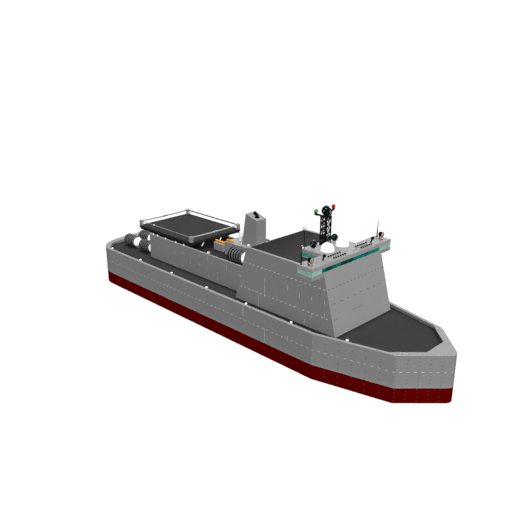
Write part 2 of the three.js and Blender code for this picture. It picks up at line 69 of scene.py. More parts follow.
# ------------------------------------------------------------------ node helpers
class Net:
    """A short hand for building one material's node tree."""

    def __init__(self, name):
        self.m = bpy.data.materials.new(name)
        self.m.use_nodes = True
        self.t = self.m.node_tree
        self.t.nodes.clear()
        self.out = self.n("ShaderNodeOutputMaterial")
        self.co = self.n("ShaderNodeTexCoord")

    def n(self, kind, **kw):
        node = self.t.nodes.new(kind)
        for k, v in kw.items():
            setattr(node, k, v)
        return node

    def link(self, a, b):
        self.t.links.new(a, b)

    def put(self, socket, value):
        if isinstance(value, bpy.types.NodeSocket):
            self.link(value, socket)
        else:
            socket.default_value = value

    def mapped(self, scale=(1, 1, 1), rot=(0, 0, 0)):
        mp = self.n("ShaderNodeMapping")
        mp.inputs["Scale"].default_value = scale
        mp.inputs["Rotation"].default_value = rot
        self.link(self.co.outputs["Object"], mp.inputs["Vector"])
        return mp.outputs["Vector"]

    def noise(self, scale, detail=4.0, rough=0.55, stretch=(1, 1, 1), out="Fac"):
        t = self.n("ShaderNodeTexNoise")
        t.inputs["Scale"].default_value = scale
        t.inputs["Detail"].default_value = detail
        t.inputs["Roughness"].default_value = rough
        self.link(self.mapped(stretch), t.inputs["Vector"])
        return t.outputs[out]

    def ramp(self, fac, stops, mode="LINEAR"):
        r = self.n("ShaderNodeValToRGB")
        r.color_ramp.interpolation = mode
        e = r.color_ramp.elements
        while len(e) < len(stops):
            e.new(0.5)
        for el, (p, c) in zip(e, stops):
            el.position = p
            el.color = (c, c, c, 1) if isinstance(c, (int, float)) else (*c, 1)
        self.link(fac, r.inputs["Fac"])
        return r.outputs["Color"]

    def mix(self, a, b, fac, mode="MIX"):
        x = self.n("ShaderNodeMix", data_type="RGBA", blend_type=mode)
        self.put(x.inputs[0], fac)
        for s, v in ((x.inputs[6], a), (x.inputs[7], b)):
            self.put(s, v if isinstance(v, bpy.types.NodeSocket) else (*v, 1))
        return x.outputs[2]

    def math(self, op, a, b=None, c=None, clamp=False):
        x = self.n("ShaderNodeMath", operation=op)
        x.use_clamp = clamp
        self.put(x.inputs[0], a)
        if b is not None:
            self.put(x.inputs[1], b)
        if c is not None:
            self.put(x.inputs[2], c)
        return x.outputs[0]

    def span(self, v, a, b, lo=0.0, hi=1.0, smooth=False):
        x = self.n("ShaderNodeMapRange")
        x.interpolation_type = "SMOOTHSTEP" if smooth else "LINEAR"
        self.link(v, x.inputs[0])
        for i, q in enumerate((a, b, lo, hi)):
            x.inputs[i + 1].default_value = q
        return x.outputs[0]

    def axis(self, k, normal=False):
        s = self.n("ShaderNodeSeparateXYZ")
        self.link((self.n("ShaderNodeNewGeometry").outputs["Normal"] if normal else self.co.outputs["Object"]), s.inputs[0])
        return s.outputs[k]

    def occlusion(self, dist, lo, hi):
        a = self.n("ShaderNodeAmbientOcclusion")
        a.samples = 6
        a.inputs["Distance"].default_value = dist
        return self.span(a.outputs["AO"], lo, hi)

    def bump(self, height, strength, dist, normal=None):
        b = self.n("ShaderNodeBump")
        b.inputs["Strength"].default_value = strength
        b.inputs["Distance"].default_value = dist
        self.link(height, b.inputs["Height"])
        if normal is not None:
            self.link(normal, b.inputs["Normal"])
        return b.outputs["Normal"]

    def shade(self, base, rough, metal=0.0, normal=None, **more):
        p = self.n("ShaderNodeBsdfPrincipled")
        self.put(p.inputs["Base Color"], base if isinstance(base, bpy.types.NodeSocket) else (*base, 1))
        self.put(p.inputs["Roughness"], rough)
        p.inputs["Metallic"].default_value = metal
        if normal is not None:
            self.link(normal, p.inputs["Normal"])
        for k, v in more.items():
            self.put(p.inputs[k.replace("_", " ")], v)
        self.link(p.outputs[0], self.out.inputs[0])
        self.p = p
        return self.m


def scaled(rgb, k):
    return tuple(c * k for c in rgb)


def paint(name, rgb, rough=0.55, spread=0.05, tint=None, ao_shade_amount=0.0, spec=0.10, orange_peel=0.02, streaks=0.03, lit_sides_rgb=None):
    """Brushed and sprayed ship's paint: slow mottling, faint runs down the plates, fine orange peel."""
    w = Net(name)
    slow = w.noise(0.55, 5, 0.6)
    fine = w.noise(9, 3, 0.5)
    col = w.mix(scaled(rgb, 1 - spread), scaled(rgb, 1 + spread), w.span(slow, 0.3, 0.7))
    col = w.mix(col, scaled(rgb, 1 - 1.2 * spread), w.math("MULTIPLY", w.span(fine, 0.5, 0.8), 0.35))
    if streaks:
        runs = w.noise(2.2, 4, 0.62, stretch=(2.4, 2.4, 0.16))
        col = w.mix(col, scaled(rgb, 1 - 4 * streaks), w.math("MULTIPLY", w.span(runs, 0.55, 0.85), 0.5))
    if tint is not None:
        lo, hi, shade = tint
        f = w.span(w.axis(2), lo, hi, 1.0, 0.0, smooth=True)
        col = w.mix(col, shade, w.math("MULTIPLY", f, w.span(slow, 0.2, 0.8, 0.85, 1.0)))
    # painted light: upright faces take their own colour, in use lighter than faces that look up or down, so sides read
    # as lit
    if lit_sides_rgb is not None:
        up = w.span(w.math("ABSOLUTE", w.axis(2, normal=True)), 0.3, 0.8)
        col = w.mix(lit_sides_rgb, col, up)
    # painted shade: darkens the colour where ambient occlusion finds nearby surfaces, in corners and under things
    if ao_shade_amount:
        ao_shade_mask = w.occlusion(0.16, 0.35, 0.95)
        col = w.mix(scaled(rgb, 1 - ao_shade_amount), col, ao_shade_mask)
    height = w.math("ADD", w.math("MULTIPLY", w.noise(2.0, 2, 0.4), 1.0), w.math("MULTIPLY", w.noise(160, 2, 0.5), 0.05))
    nrm = w.bump(height, orange_peel * 6, 0.02)
    r = w.span(w.noise(3.2, 4, 0.6), 0.25, 0.75, rough - 0.06, rough + 0.07)
    return w.shade(col, r, 0.0, nrm, Specular_IOR_Level=spec)


def deck_paint(name, rgb, edge=0.3, grit=60, shade_ramp_x=None):
    """Matt non-slip deck coating, with painted shade: darker where ambient occlusion finds upright steel nearby."""
    w = Net(name)
    slow = w.noise(0.5, 5, 0.6)
    foot = w.noise(4.5, 4, 0.6)
    col = w.mix(scaled(rgb, 0.95), scaled(rgb, 1.06), w.span(slow, 0.3, 0.7))
    col = w.mix(col, scaled(rgb, 1.14), w.math("MULTIPLY", w.span(foot, 0.6, 0.85), 0.3))
    # painted shade: occlusion within the given reach darkens the coating towards near black
    shadow = w.occlusion(edge, 0.50, 0.93)
    col = w.mix(scaled(rgb, 0.06), col, shadow)
    if shade_ramp_x:
        # painted shade: darker towards the after end of the roof, lightening along X across the given span
        sp = w.n("ShaderNodeSeparateXYZ")
        w.link(w.co.outputs["Object"], sp.inputs[0])
        col = w.mix(scaled(rgb, 0.22), col, w.span(sp.outputs["X"], *shade_ramp_x))
    g = w.n("ShaderNodeTexVoronoi")
    g.inputs["Scale"].default_value = grit
    w.link(w.co.outputs["Object"], g.inputs["Vector"])
    nrm = w.bump(g.outputs["Distance"], 0.28, 0.004)
    return w.shade(col, w.span(slow, 0.2, 0.8, 0.86, 0.96), 0.0, nrm, Specular_IOR_Level=0.04)


def metal(name, rgb, rough, wear=0.25, bump=0.15, metallic=0.85):
    w = Net(name)
    a = w.noise(14, 4, 0.6)
    col = w.mix(scaled(rgb, 1 - wear), scaled(rgb, 1 + wear * 0.6), w.span(a, 0.3, 0.7))
    nrm = w.bump(w.noise(60, 3, 0.6), bump, 0.004)
    return w.shade(col, w.span(a, 0.3, 0.7, rough - 0.08, rough + 0.1), metallic, nrm)


def enamel(name, rgb, rough, spread=0.12, bump=0.08, coat=0.0, scale=7, **more):
    w = Net(name)
    a = w.noise(scale, 4, 0.6)
    col = w.mix(scaled(rgb, 1 - spread), scaled(rgb, 1 + spread), w.span(a, 0.3, 0.7))
    nrm = w.bump(w.noise(scale * 9, 3, 0.5), bump, 0.003)
    more.setdefault("Specular_IOR_Level", 0.12)
    return w.shade(col, w.span(a, 0.25, 0.75, max(0.02, rough - 0.06), rough + 0.08), 0.0, nrm, Coat_Weight=coat, **more)


def glass(name, rgb, alpha, rough=0.06, emit=0.0, bands=None, spec=0.12):
    w = Net(name)
    a = w.noise(1.6, 3, 0.5)
    col = w.mix(scaled(rgb, 0.85), scaled(rgb, 1.12), w.span(a, 0.3, 0.7))
    if bands is not None:
        first, second, count = bands
        wav = w.n("ShaderNodeTexNoise", noise_dimensions="1D")
        wav.inputs["Scale"].default_value = count
        wav.inputs["Detail"].default_value = 0.0
        w.link(w.axis(1), wav.inputs["W"])
        col = w.mix(first, second, w.span(wav.outputs["Fac"], 0.44, 0.56))
    nrm = w.bump(w.noise(0.9, 2, 0.5), 0.03, 0.02)
    return w.shade(col, w.span(a, 0.2, 0.8, rough, rough + 0.03), 0.0, nrm, Alpha=alpha, IOR=1.5, Specular_IOR_Level=spec, Emission_Color=(*rgb, 1), Emission_Strength=emit)


def rope(name, rgb, turns):
    """Wound line: strands running round the drum with a twist."""
    w = Net(name)
    wv = w.n("ShaderNodeTexWave", wave_type="BANDS", bands_direction="X")
    wv.inputs["Scale"].default_value = turns
    wv.inputs["Distortion"].default_value = 1.4
    wv.inputs["Detail"].default_value = 2.0
    wv.inputs["Detail Scale"].default_value = 6.0
    w.link(w.mapped((1, 0.4, 0.4), (0.0, 0.0, 0.35)), wv.inputs["Vector"])
    col = w.mix(scaled(rgb, 0.5), scaled(rgb, 1.6), wv.outputs["Fac"])
    nrm = w.bump(wv.outputs["Fac"], 0.5, 0.01)
    return w.shade(col, w.span(wv.outputs["Fac"], 0.0, 1.0, 0.72, 0.55), 0.0, nrm, Specular_IOR_Level=0.1)


GREY = (0.22, 0.22, 0.22)
M = {
    "hull": paint("hull_grey", GREY, 0.5, spread=0.02, tint=(0.95, 1.45, (0.232, 0.250, 0.250)), streaks=0.015),
    "house": paint("house_grey", GREY, 0.5, spread=0.02, streaks=0.012),
    # painted highlight: a lighter copy of the grey paint for nosings, rails and feet, standing for the light along
    # their tops
    "cap": paint("rail_cap_lit_grey", (0.245, 0.245, 0.245), 0.45, spread=0.03, streaks=0.0),
    # painted light: the roof slab's upright sides are coloured lighter than its top
    "roof": paint("roof_grey", (0.215, 0.215, 0.215), 0.5, spread=0.03, streaks=0.0, lit_sides_rgb=(0.300, 0.288, 0.287)),
    "wing": paint("wing_grey", (0.262, 0.252, 0.251), 0.5, spread=0.03, streaks=0.01),
    "red": paint("bottom_red", (0.112, 0.0, 0.0), 0.7, spread=0.05, tint=(0.62, 0.98, (0.098, 0.0, 0.0)), streaks=0.02, spec=0.0),
    "deck": deck_paint("deck_coating", (0.0290, 0.0290, 0.0292), 0.55),
    # a long occlusion reach paints the shade under the raised platform onto this roof
    "aftroof": deck_paint("after_roof_coating", (0.0285, 0.0285, 0.0288), 1.15),
    # painted shade ramp: this roof darkens from X 5.2 m aft towards X 0
    "roofdeck": deck_paint("roof_coating", (0.0285, 0.0285, 0.0288), 0.5, 60, (0.0, 5.2)),
    "fascia": deck_paint("fascia_dark", (0.020, 0.020, 0.0202), 0.10, 90),
    # painted shade: near black for the beams under the platform, where shade falls
    "under": enamel("under_platform_shade_black", (0.002, 0.002, 0.0022), 0.8, 0.2, 0.1),
    # painted highlight: weld beads coloured pale so each seam reads as a bright line
    "seam": enamel("weld_bead_highlight", (0.50, 0.50, 0.50), 0.45, 0.12, 0.2),
    "dot": enamel("rivet_dark", (0.05, 0.05, 0.052), 0.5, 0.2, 0.1),
    "dash": enamel("seam_dark", (0.040, 0.040, 0.040), 0.55, 0.15, 0.1),
    # painted shade: a near black for contact lines where decks meet upright steel; no part uses it
    "edge": enamel("contact_shadow_line_dark", (0.004, 0.004, 0.004), 0.8, 0.15, 0.1, Specular_IOR_Level=0.0),
    "black": enamel("gear_black", (0.0022, 0.0022, 0.0024), 0.42, 0.3, 0.12, Specular_IOR_Level=0.05),
    "blackmatt": enamel("gear_black_matt", (0.0015, 0.0015, 0.0015), 0.7, 0.3, 0.15, Specular_IOR_Level=0.03),
    "steel": metal("steel_grey", (0.20, 0.20, 0.205), 0.42, metallic=0.6),
    "chain": metal("chain_galvanised", (0.42, 0.42, 0.42), 0.45, 0.3, 0.3, 0.15),
    "dkchain": metal("chain_weathered", (0.10, 0.10, 0.10), 0.5, 0.3, 0.3, 0.1),
    "pale": enamel("fitting_pale", (0.42, 0.42, 0.42), 0.4, 0.08, 0.06),
    # painted glow: emission lights every white part, the lamps and also rods, brackets, chain eyes, hoops and clips
    # that are no lamps
    "white": enamel("white_fitting_glow", (0.86, 0.86, 0.86), 0.3, 0.03, 0.04, 0.2, 7, Emission_Color=(1, 1, 1, 1), Emission_Strength=0.10),
    # painted glow: emission makes the radomes and the reels' domed ends glow, though they are no lamps
    "dome": enamel("radome_gelcoat_glow", (0.93, 0.93, 0.93), 0.32, 0.012, 0.02, 0.15, 3, Emission_Color=(1, 1, 1, 1), Emission_Strength=0.22),
    "orange": enamel("float_orange", (0.68, 0.22, 0.0006), 0.55, 0.12, 0.25, 0.0, 11),
    "band": enamel("float_band", (0.48, 0.12, 0.0006), 0.6, 0.15, 0.3),
    "navy": enamel("cover_navy", (0.0006, 0.0035, 0.020), 0.5, 0.3, 0.1, Specular_IOR_Level=0.05),
    "tan": enamel("lens_amber", (0.46, 0.27, 0.155), 0.16, 0.22, 0.03, 0.3, 18),
    # painted light and shade: one teal window glass in three copies, the front opaque and dark for the shaded
    # wheelhouse behind it with bands of lighter and darker shade along its run, the wing and side glass lighter for
    # daylight seen through them
    "glassf": glass("window_teal_front_shaded", (0.0, 0.10, 0.076), 1.0, 0.12, 0.0, ((0.0, 0.050, 0.036), (0.0, 0.195, 0.148), 0.72), 0.03),
    "glassw": glass("window_teal_wing_lit", (0.27, 0.45, 0.395), 0.88, 0.08, spec=0.06),
    "glasst": glass("window_teal_side_lit", (0.045, 0.32, 0.255), 0.95, 0.1, spec=0.04),
    # painted highlight: pale teal for the glints on the black sensor heads
    "facet": glass("facet_teal_glint", (0.16, 0.36, 0.33), 1.0, 0.1),
    "green": glass("lamp_green", (0.055, 0.56, 0.0), 1.0, 0.12, 0.05),
    "redl": glass("lamp_red", (0.80, 0.0, 0.0), 1.0, 0.12, 0.10),
    "bronze": metal("propeller_bronze", (0.48, 0.27, 0.10), 0.32, 0.2, 0.15, 0.95),
    "rope": rope("reel_line_black", (0.016, 0.016, 0.0165), 26),
    # painted sheen: a grey copy of the black line for the crests of the coils
    "ridge": enamel("reel_crest_sheen_grey", (0.12, 0.12, 0.12), 0.5, 0.5, 0.1, scale=9),
    "screen": enamel("screen_dark", (0.01, 0.03, 0.03), 0.15, 0.2, 0.02, 0.4),
    "rubber": enamel("rubber_black", (0.003, 0.003, 0.003), 0.75, 0.2, 0.3, Specular_IOR_Level=0.03),
}


# ------------------------------------------------------------------ mesh builder
class MB:
    """Collects faces from simple makers into one mesh, each face with its own material and shading."""

    def __init__(self):
        self.v, self.f, self.mi, self.sm, self.mats = [], [], [], [], []

    def mat(self, key):
        if key not in self.mats:
            self.mats.append(key)
        return self.mats.index(key)

    def add(self, verts, faces, key, smooth=False):
        o = len(self.v)
        self.v.extend([tuple(p) for p in verts])
        i = self.mat(key)
        for f in faces:
            self.f.append([o + k for k in f])
            self.mi.append(i)
            self.sm.append(smooth)

    def box(self, x0, x1, y0, y1, z0, z1, key, ch=0.0, at=None):
        """A box with its long edges cut by a chamfer; at turns and moves it."""
        c = min(ch, 0.45 * min(x1 - x0, y1 - y0, z1 - z0))
        if c <= 0:
            vs = [(x, y, z) for z in (z0, z1) for x, y in ((x0, y0), (x1, y0), (x1, y1), (x0, y1))]
            fs = [(3, 2, 1, 0), (4, 5, 6, 7), (0, 1, 5, 4), (1, 2, 6, 5), (2, 3, 7, 6), (3, 0, 4, 7)]
        else:
            vs, fs, idx = [], [], {}
            for sx in (0, 1):
                for sy in (0, 1):
                    for sz in (0, 1):
                        X_, Y_, Z_ = (x0, x1)[sx], (y0, y1)[sy], (z0, z1)[sz]
                        dx, dy, dz = (c, -c)[sx], (c, -c)[sy], (c, -c)[sz]
                        for a, p in (("x", (X_, Y_ + dy, Z_ + dz)), ("y", (X_ + dx, Y_, Z_ + dz)), ("z", (X_ + dx, Y_ + dy, Z_))):
                            idx[(sx, sy, sz, a)] = len(vs)
                            vs.append(p)
            g = lambda *k: idx[k]
            fs += [[g(1, 0, 0, "x"), g(1, 1, 0, "x"), g(1, 1, 1, "x"), g(1, 0, 1, "x")], [g(0, 0, 0, "x"), g(0, 0, 1, "x"), g(0, 1, 1, "x"), g(0, 1, 0, "x")]]
            fs += [[g(0, 1, 0, "y"), g(0, 1, 1, "y"), g(1, 1, 1, "y"), g(1, 1, 0, "y")], [g(0, 0, 0, "y"), g(1, 0, 0, "y"), g(1, 0, 1, "y"), g(0, 0, 1, "y")]]
            fs += [[g(0, 0, 1, "z"), g(1, 0, 1, "z"), g(1, 1, 1, "z"), g(0, 1, 1, "z")], [g(0, 0, 0, "z"), g(0, 1, 0, "z"), g(1, 1, 0, "z"), g(1, 0, 0, "z")]]
            quads = []
            for a in (0, 1):
                for b in (0, 1):
                    quads.append([g(a, b, 0, "x"), g(a, b, 1, "x"), g(a, b, 1, "y"), g(a, b, 0, "y")])
                    quads.append([g(a, 0, b, "x"), g(a, 1, b, "x"), g(a, 1, b, "z"), g(a, 0, b, "z")])
                    quads.append([g(0, a, b, "y"), g(1, a, b, "y"), g(1, a, b, "z"), g(0, a, b, "z")])
            tris = [[g(a, b, d, "x"), g(a, b, d, "y"), g(a, b, d, "z")] for a in (0, 1) for b in (0, 1) for d in (0, 1)]
            mid = Vector(((x0 + x1) / 2, (y0 + y1) / 2, (z0 + z1) / 2))
            for q in quads + tris:
                p = [Vector(vs[k]) for k in q]
                n = (p[1] - p[0]).cross(p[2] - p[0])
                if n.dot(sum(p, Vector()) / len(p) - mid) < 0:
                    q.reverse()
                fs.append(q)
        if at is not None:
            vs = [at @ Vector(p) for p in vs]
        self.add(vs, fs, key)

    def prism(self, poly, z0, z1, key, axis="z", cap=True):
        """An outline carried along an axis; the outline is counter-clockwise seen from the far end."""
        n = len(poly)
        put = {"z": lambda p, h: (p[0], p[1], h), "y": lambda p, h: (p[0], h, p[1]), "x": lambda p, h: (h, p[0], p[1])}[axis]
        vs = [put(p, z0) for p in poly] + [put(p, z1) for p in poly]
        area = sum(poly[i][0] * poly[(i + 1) % n][1] - poly[(i + 1) % n][0] * poly[i][1] for i in range(n))
        flip = (area < 0) != (axis == "y")
        fs = [[i, (i + 1) % n, n + (i + 1) % n, n + i] for i in range(n)]
        if cap:
            fs += [list(range(n))[::-1], [n + i for i in range(n)]]
        if flip:
            fs = [f[::-1] for f in fs]
        self.add(vs, fs, key)

    def cyl(self, a, b, r, key, r2=None, n=16, caps=True):
        a, b = Vector(a), Vector(b)
        r2 = r if r2 is None else r2
        d = (b - a).normalized()
        u = d.orthogonal().normalized()
        w = d.cross(u)
        ring = lambda c, q: [c + q * (math.cos(2 * math.pi * i / n) * u + math.sin(2 * math.pi * i / n) * w) for i in range(n)]
        vs = ring(a, r) + ring(b, r2)
        self.add(vs, [[i, (i + 1) % n, n + (i + 1) % n, n + i] for i in range(n)], key, True)
        if caps:
            if r > 1e-6:
                self.add(vs[:n], [list(range(n))[::-1]], key)
            if r2 > 1e-6:
                self.add(vs[n:], [list(range(n))], key)

    def tube(self, pts, r, key, n=8, closed=False, caps=True, radii=None):
        pts = [Vector(p) for p in pts]
        m = len(pts)
        rings, u = [], None
        for i, p in enumerate(pts):
            a = pts[(i - 1) % m] if (closed or i) else p
            b = pts[(i + 1) % m] if (closed or i < m - 1) else p
            d = (b - a).normalized()
            u = d.orthogonal().normalized() if u is None else (u - d * u.dot(d)).normalized()
            w = d.cross(u)
            q = radii[i] if radii else r
            rings.append([p + q * (math.cos(2 * math.pi * k / n) * u + math.sin(2 * math.pi * k / n) * w) for k in range(n)])
        vs = [p for ring in rings for p in ring]
        fs = []
        for i in range(m if closed else m - 1):
            j = (i + 1) % m
            s = 0
            if closed and j == 0:
                s = min(range(n), key=lambda q: (rings[0][q] - rings[-1][0]).length)
            for k in range(n):
                fs.append([i * n + k, i * n + (k + 1) % n, j * n + (k + 1 + s) % n, j * n + (k + s) % n])
        self.add(vs, fs, key, True)
        if caps and not closed:
            self.add(rings[0], [list(range(n))[::-1]], key)
            self.add(rings[-1], [list(range(n))], key)

    def ball(self, c, r, key, seg=20, rings=12, scale=(1, 1, 1), top=0.0, bottom=math.pi, turn=None):
        vs, fs = [], []
        for j in range(rings + 1):
            t = top + (bottom - top) * j / rings
            for i in range(seg):
                a = 2 * math.pi * i / seg
                p = Vector((math.sin(t) * math.cos(a) * scale[0], math.sin(t) * math.sin(a) * scale[1], math.cos(t) * scale[2])) * r
                if turn is not None:
                    p = turn @ p
                vs.append(Vector(c) + p)
        for j in range(rings):
            for i in range(seg):
                a, b, d, e = j * seg + i, j * seg + (i + 1) % seg, (j + 1) * seg + (i + 1) % seg, (j + 1) * seg + i
                q = [a, e, d, b]
                if j == 0 and top == 0.0:
                    q = [a, e, d]
                elif j == rings - 1 and abs(bottom - math.pi) < 1e-6:
                    q = [a, e, b]
                fs.append(q)
        self.add(vs, fs, key, True)

    def lathe(self, profile, key, origin=(0, 0, 0), axis="z", n=32, sharp=35, keys=None):
        """A profile of (radius, place) turned round an axis through origin."""
        o = Vector(origin)
        put = {"z": lambda r, h, a: Vector((r * math.cos(a), r * math.sin(a), h)), "x": lambda r, h, a: Vector((h, r * math.cos(a), r * math.sin(a))), "y": lambda r, h, a: Vector((r * math.sin(a), h, r * math.cos(a)))}[axis]
        for i in range(len(profile) - 1):
            (r0, h0), (r1, h1) = profile[i], profile[i + 1]
            if r0 < 1e-7 and r1 < 1e-7:
                continue
            a = [put(max(r0, 0), h0, 2 * math.pi * k / n) + o for k in range(n)]
            b = [put(max(r1, 0), h1, 2 * math.pi * k / n) + o for k in range(n)]
            if r0 < 1e-7:
                self.add([a[0]] + b, [[0, 1 + (k + 1) % n, 1 + k] for k in range(n)], (keys or [key] * 99)[i], True)
            elif r1 < 1e-7:
                self.add(a + [b[0]], [[k, (k + 1) % n, n] for k in range(n)], (keys or [key] * 99)[i], True)
            else:
                self.add(a + b, [[k, (k + 1) % n, n + (k + 1) % n, n + k] for k in range(n)], (keys or [key] * 99)[i], True)

    def torus(self, c, R, r, key, axis="z", n=32, m=8, scale=(1, 1)):
        c = Vector(c)
        put = {"z": lambda a, b, h: Vector((a, b, h)), "x": lambda a, b, h: Vector((h, a, b)), "y": lambda a, b, h: Vector((b, h, a))}[axis]
        vs = [c + put(math.cos(2 * math.pi * i / n) * (R + r * math.cos(2 * math.pi * j / m)) * scale[0], math.sin(2 * math.pi * i / n) * (R + r * math.cos(2 * math.pi * j / m)) * scale[1], r * math.sin(2 * math.pi * j / m)) for i in range(n) for j in range(m)]
        fs = [[i * m + j, ((i + 1) % n) * m + j, ((i + 1) % n) * m + (j + 1) % m, i * m + (j + 1) % m] for i in range(n) for j in range(m)]
        self.add(vs, fs, key, True)

    def button(self, c, nrm, r, h, key, n=8):
        """A low round head standing off a surface."""
        c, d = Vector(c), Vector(nrm).normalized()
        u = d.orthogonal().normalized()
        w = d.cross(u)
        ring = lambda q, e: [c + e * d + q * (math.cos(2 * math.pi * i / n) * u + math.sin(2 * math.pi * i / n) * w) for i in range(n)]
        vs = ring(r, -0.004) + ring(r * 0.92, h * 0.6) + ring(r * 0.45, h)
        fs = [[i, (i + 1) % n, n + (i + 1) % n, n + i] for i in range(n)] + [[n + i, n + (i + 1) % n, 2 * n + (i + 1) % n, 2 * n + i] for i in range(n)] + [[2 * n + i for i in range(n)]]
        self.add(vs, fs, key, True)

    def make(self, name, body, slot, replaces=(), weld=True, bevel=0.0, seg=2):
        me = bpy.data.meshes.new(name)
        me.from_pydata(self.v, [], self.f)
        for k in self.mats:
            me.materials.append(M[k])
        me.polygons.foreach_set("material_index", self.mi)
        me.polygons.foreach_set("use_smooth", self.sm)
        me.update()
        ob = bpy.data.objects.new(name, me)
        bpy.context.scene.collection.objects.link(ob)
        if weld:
            import bmesh

            bm = bmesh.new()
            bm.from_mesh(me)
            bmesh.ops.remove_doubles(bm, verts=bm.verts, dist=1e-5)
            for e in bm.edges:
                if len(e.link_faces) == 2 and e.calc_face_angle(0) > math.radians(38):
                    e.smooth = False
            bm.to_mesh(me)
            bm.free()
        if bevel:
            b = ob.modifiers.new("bevel", "BEVEL")
            b.width = bevel
            b.segments = seg
            b.limit_method = "ANGLE"
            b.angle_limit = math.radians(50)
        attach(ob, body)
        for nd in replaces:
            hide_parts(nd)
        return ob


def arc(c, r, a0, a1, n, plane="xz"):
    out = []
    for i in range(n + 1):
        a = math.radians(a0 + (a1 - a0) * i / n)
        u, v = r * math.cos(a), r * math.sin(a)
        out.append((c[0] + u, c[1], c[2] + v) if plane == "xz" else (c[0], c[1] + u, c[2] + v) if plane == "yz" else (c[0] + u, c[1] + v, c[2]))
    return out


# ------------------------------------------------------------------ finishes on the frame's own nodes
CAD_FINISH = {
    "hull_bottom": "red", "hull_sides": "hull", "bulwark": "house", "main_deck": "deck", "deckhouse": "house", "deckhouse_roof": "roofdeck",
    "aft_house": "house", "aft_house_roof": "aftroof", "aft_door": "house", "bridge_wing_port": "wing", "bridge_wing_starboard": "wing",
    "bridge_roof": "roof", "bridge_console": "blackmatt", "lattice_mast": "black", "engine_casing": "house", "funnel": "house", "exhaust_pipe": "black",
    "upper_platform": "deck", "platform_pillars": "blackmatt", "platform_rails": "house", "deck_locker": "house", "locker_float": "orange", "casing_float": "orange",
    "deck_pump": "navy", "reel_frame_aft": "steel", "reel_frame_house_port": "steel", "reel_frame_house_starboard": "steel", "bridge_glass": "glassw",
    "starboard_light": "green", "port_light": "redl", "mast_sensor": "black", "loop_antenna": "black",
}
for s in ("port", "starboard"):
    CAD_FINISH.update({"sensor_ball_" + s: "black", "radome_" + s: "dome", "searchlight_yoke_" + s: "black", "searchlight_" + s: "black", "bearing_sight_" + s: "black",
                       "roof_vent_" + s: "steel", "whip_antenna_" + s: "black", "reel_house_" + s: "rope", "reel_aft_" + s: "rope", "reel_fwd_" + s: "rope",
                       "propeller_" + s: "bronze", "rudder_" + s: "red"})
CAD_FINISH["reel_aft_centre"] = "rope"
for n, o in NODES.items():
    o.data.materials.clear()
    o.data.materials.append(M[CAD_FINISH.get(n, "house")])
    for p in o.data.polygons:
        p.material_index = 0

OUT_P = []  # port half of the hull outline, stern to nose
for i in range(25):
    t = (i / 24) * (math.pi / 2)
    OUT_P.append((X(-44 - 4.7 * math.cos(t) ** (2 / 2.4)), L(7.5) * math.sin(t) ** (2 / 2.4)))
OUT_P += [(X(0), L(7.5)), (X(10), L(5.0))]
for i in range(5):
    t = math.pi / 4 * (1 - i / 4)
    OUT_P.append((X(13.65 + 0.95 * math.cos(t)), L(0.95) * math.sin(t)))


def offset_path(pts, d):
    """Moves a plan polyline sideways to its right by d."""
    out = []
    for i, p in enumerate(pts):
        a = Vector(pts[max(i - 1, 0)]); b = Vector(pts[min(i + 1, len(pts) - 1)]); p = Vector(p)
        d1 = (p - a).normalized() if i else (b - p).normalized()
        d2 = (b - p).normalized() if i < len(pts) - 1 else d1
        n1, n2 = Vector((d1.y, -d1.x)), Vector((d2.y, -d2.x))
        n = (n1 + n2)
        n = n.normalized() if n.length > 1e-6 else n1
        out.append(p + n * (d / max(0.4, n.dot(n1))))
    return out


FULL = [(x, -y) for x, y in reversed(OUT_P[:-1])]  # starboard, from nose to stern
LOOP = OUT_P + FULL  # whole outline, stern port side round the nose and back along the starboard side

# ------------------------------------------------------------------ hull: seams, rivets
mb = MB()


def hull_runs():
    """Straight runs of the hull side: start and end."""
    runs = []
    for k in (1, -1):
        pts = [(x, k * y) for x, y in OUT_P]
        runs += [(Vector(pts[i]), Vector(pts[i + 1])) for i in range(len(pts) - 1)]
    return runs


def side_point(dist_pts, s):
    """The point and running direction at distance s along a plan polyline."""
    for a, b in zip(dist_pts, dist_pts[1:]):
        a, b = Vector(a), Vector(b)
        l = (b - a).length
        if s <= l:
            d = (b - a) / l
            return a + d * s, d
        s -= l
    return None, None


def dashes(path, z, pitch, length, h, key, out=0.006, side=1, start=0.1):
    """Short weld stitches standing off a hull plate along one level."""
    s = start
    while True:
        p, d = side_point(path, s)
        q, _ = side_point(path, s + length)
        if p is None or q is None:
            break
        n = Vector((d.y, -d.x)) * side
        a, b = p - n * 0.003, q - n * 0.003
        a2, b2 = p + n * out, q + n * out
        vs = [(a.x, a.y, z - h), (b.x, b.y, z - h), (b.x, b.y, z + h), (a.x, a.y, z + h), (a2.x, a2.y, z - h * .6), (b2.x, b2.y, z - h * .6), (b2.x, b2.y, z + h * .6), (a2.x, a2.y, z + h * .6)]
        fs = [[4, 5, 6, 7], [0, 1, 5, 4], [1, 2, 6, 5], [2, 3, 7, 6], [3, 0, 4, 7]]
        if side < 0:
            fs = [f[::-1] for f in fs]
        mb.add(vs, fs, key)
        s += pitch


port_path = OUT_P
star_path = [(x, -y) for x, y in OUT_P]
dashes(port_path, L(4.0), 0.42, 0.14, 0.020, "seam", side=-1)
dashes(star_path, L(4.0), 0.42, 0.14, 0.020, "seam", side=1)


def vseam(x, y, z0, z1, nrm, w=0.016, key="seam", out=0.006):
    """An upright butt weld on a plate whose outward normal is nrm."""
    n = Vector(nrm).normalized()
    t = Vector((-n.y, n.x, 0)).normalized()
    up = Vector((0, 0, 1))
    c = Vector((x, y, 0))
    vs = []
    for z in (z0, z1):
        for s_, e in ((-w, -0.003), (w, -0.003), (w * .6, out), (-w * .6, out)):
            vs.append(c + t * s_ + n * e + up * z)
    fs = [[0, 1, 5, 4], [1, 2, 6, 5], [2, 3, 7, 6], [3, 0, 4, 7], [3, 2, 1, 0], [4, 5, 6, 7]]
    mb.add(vs, fs, key)


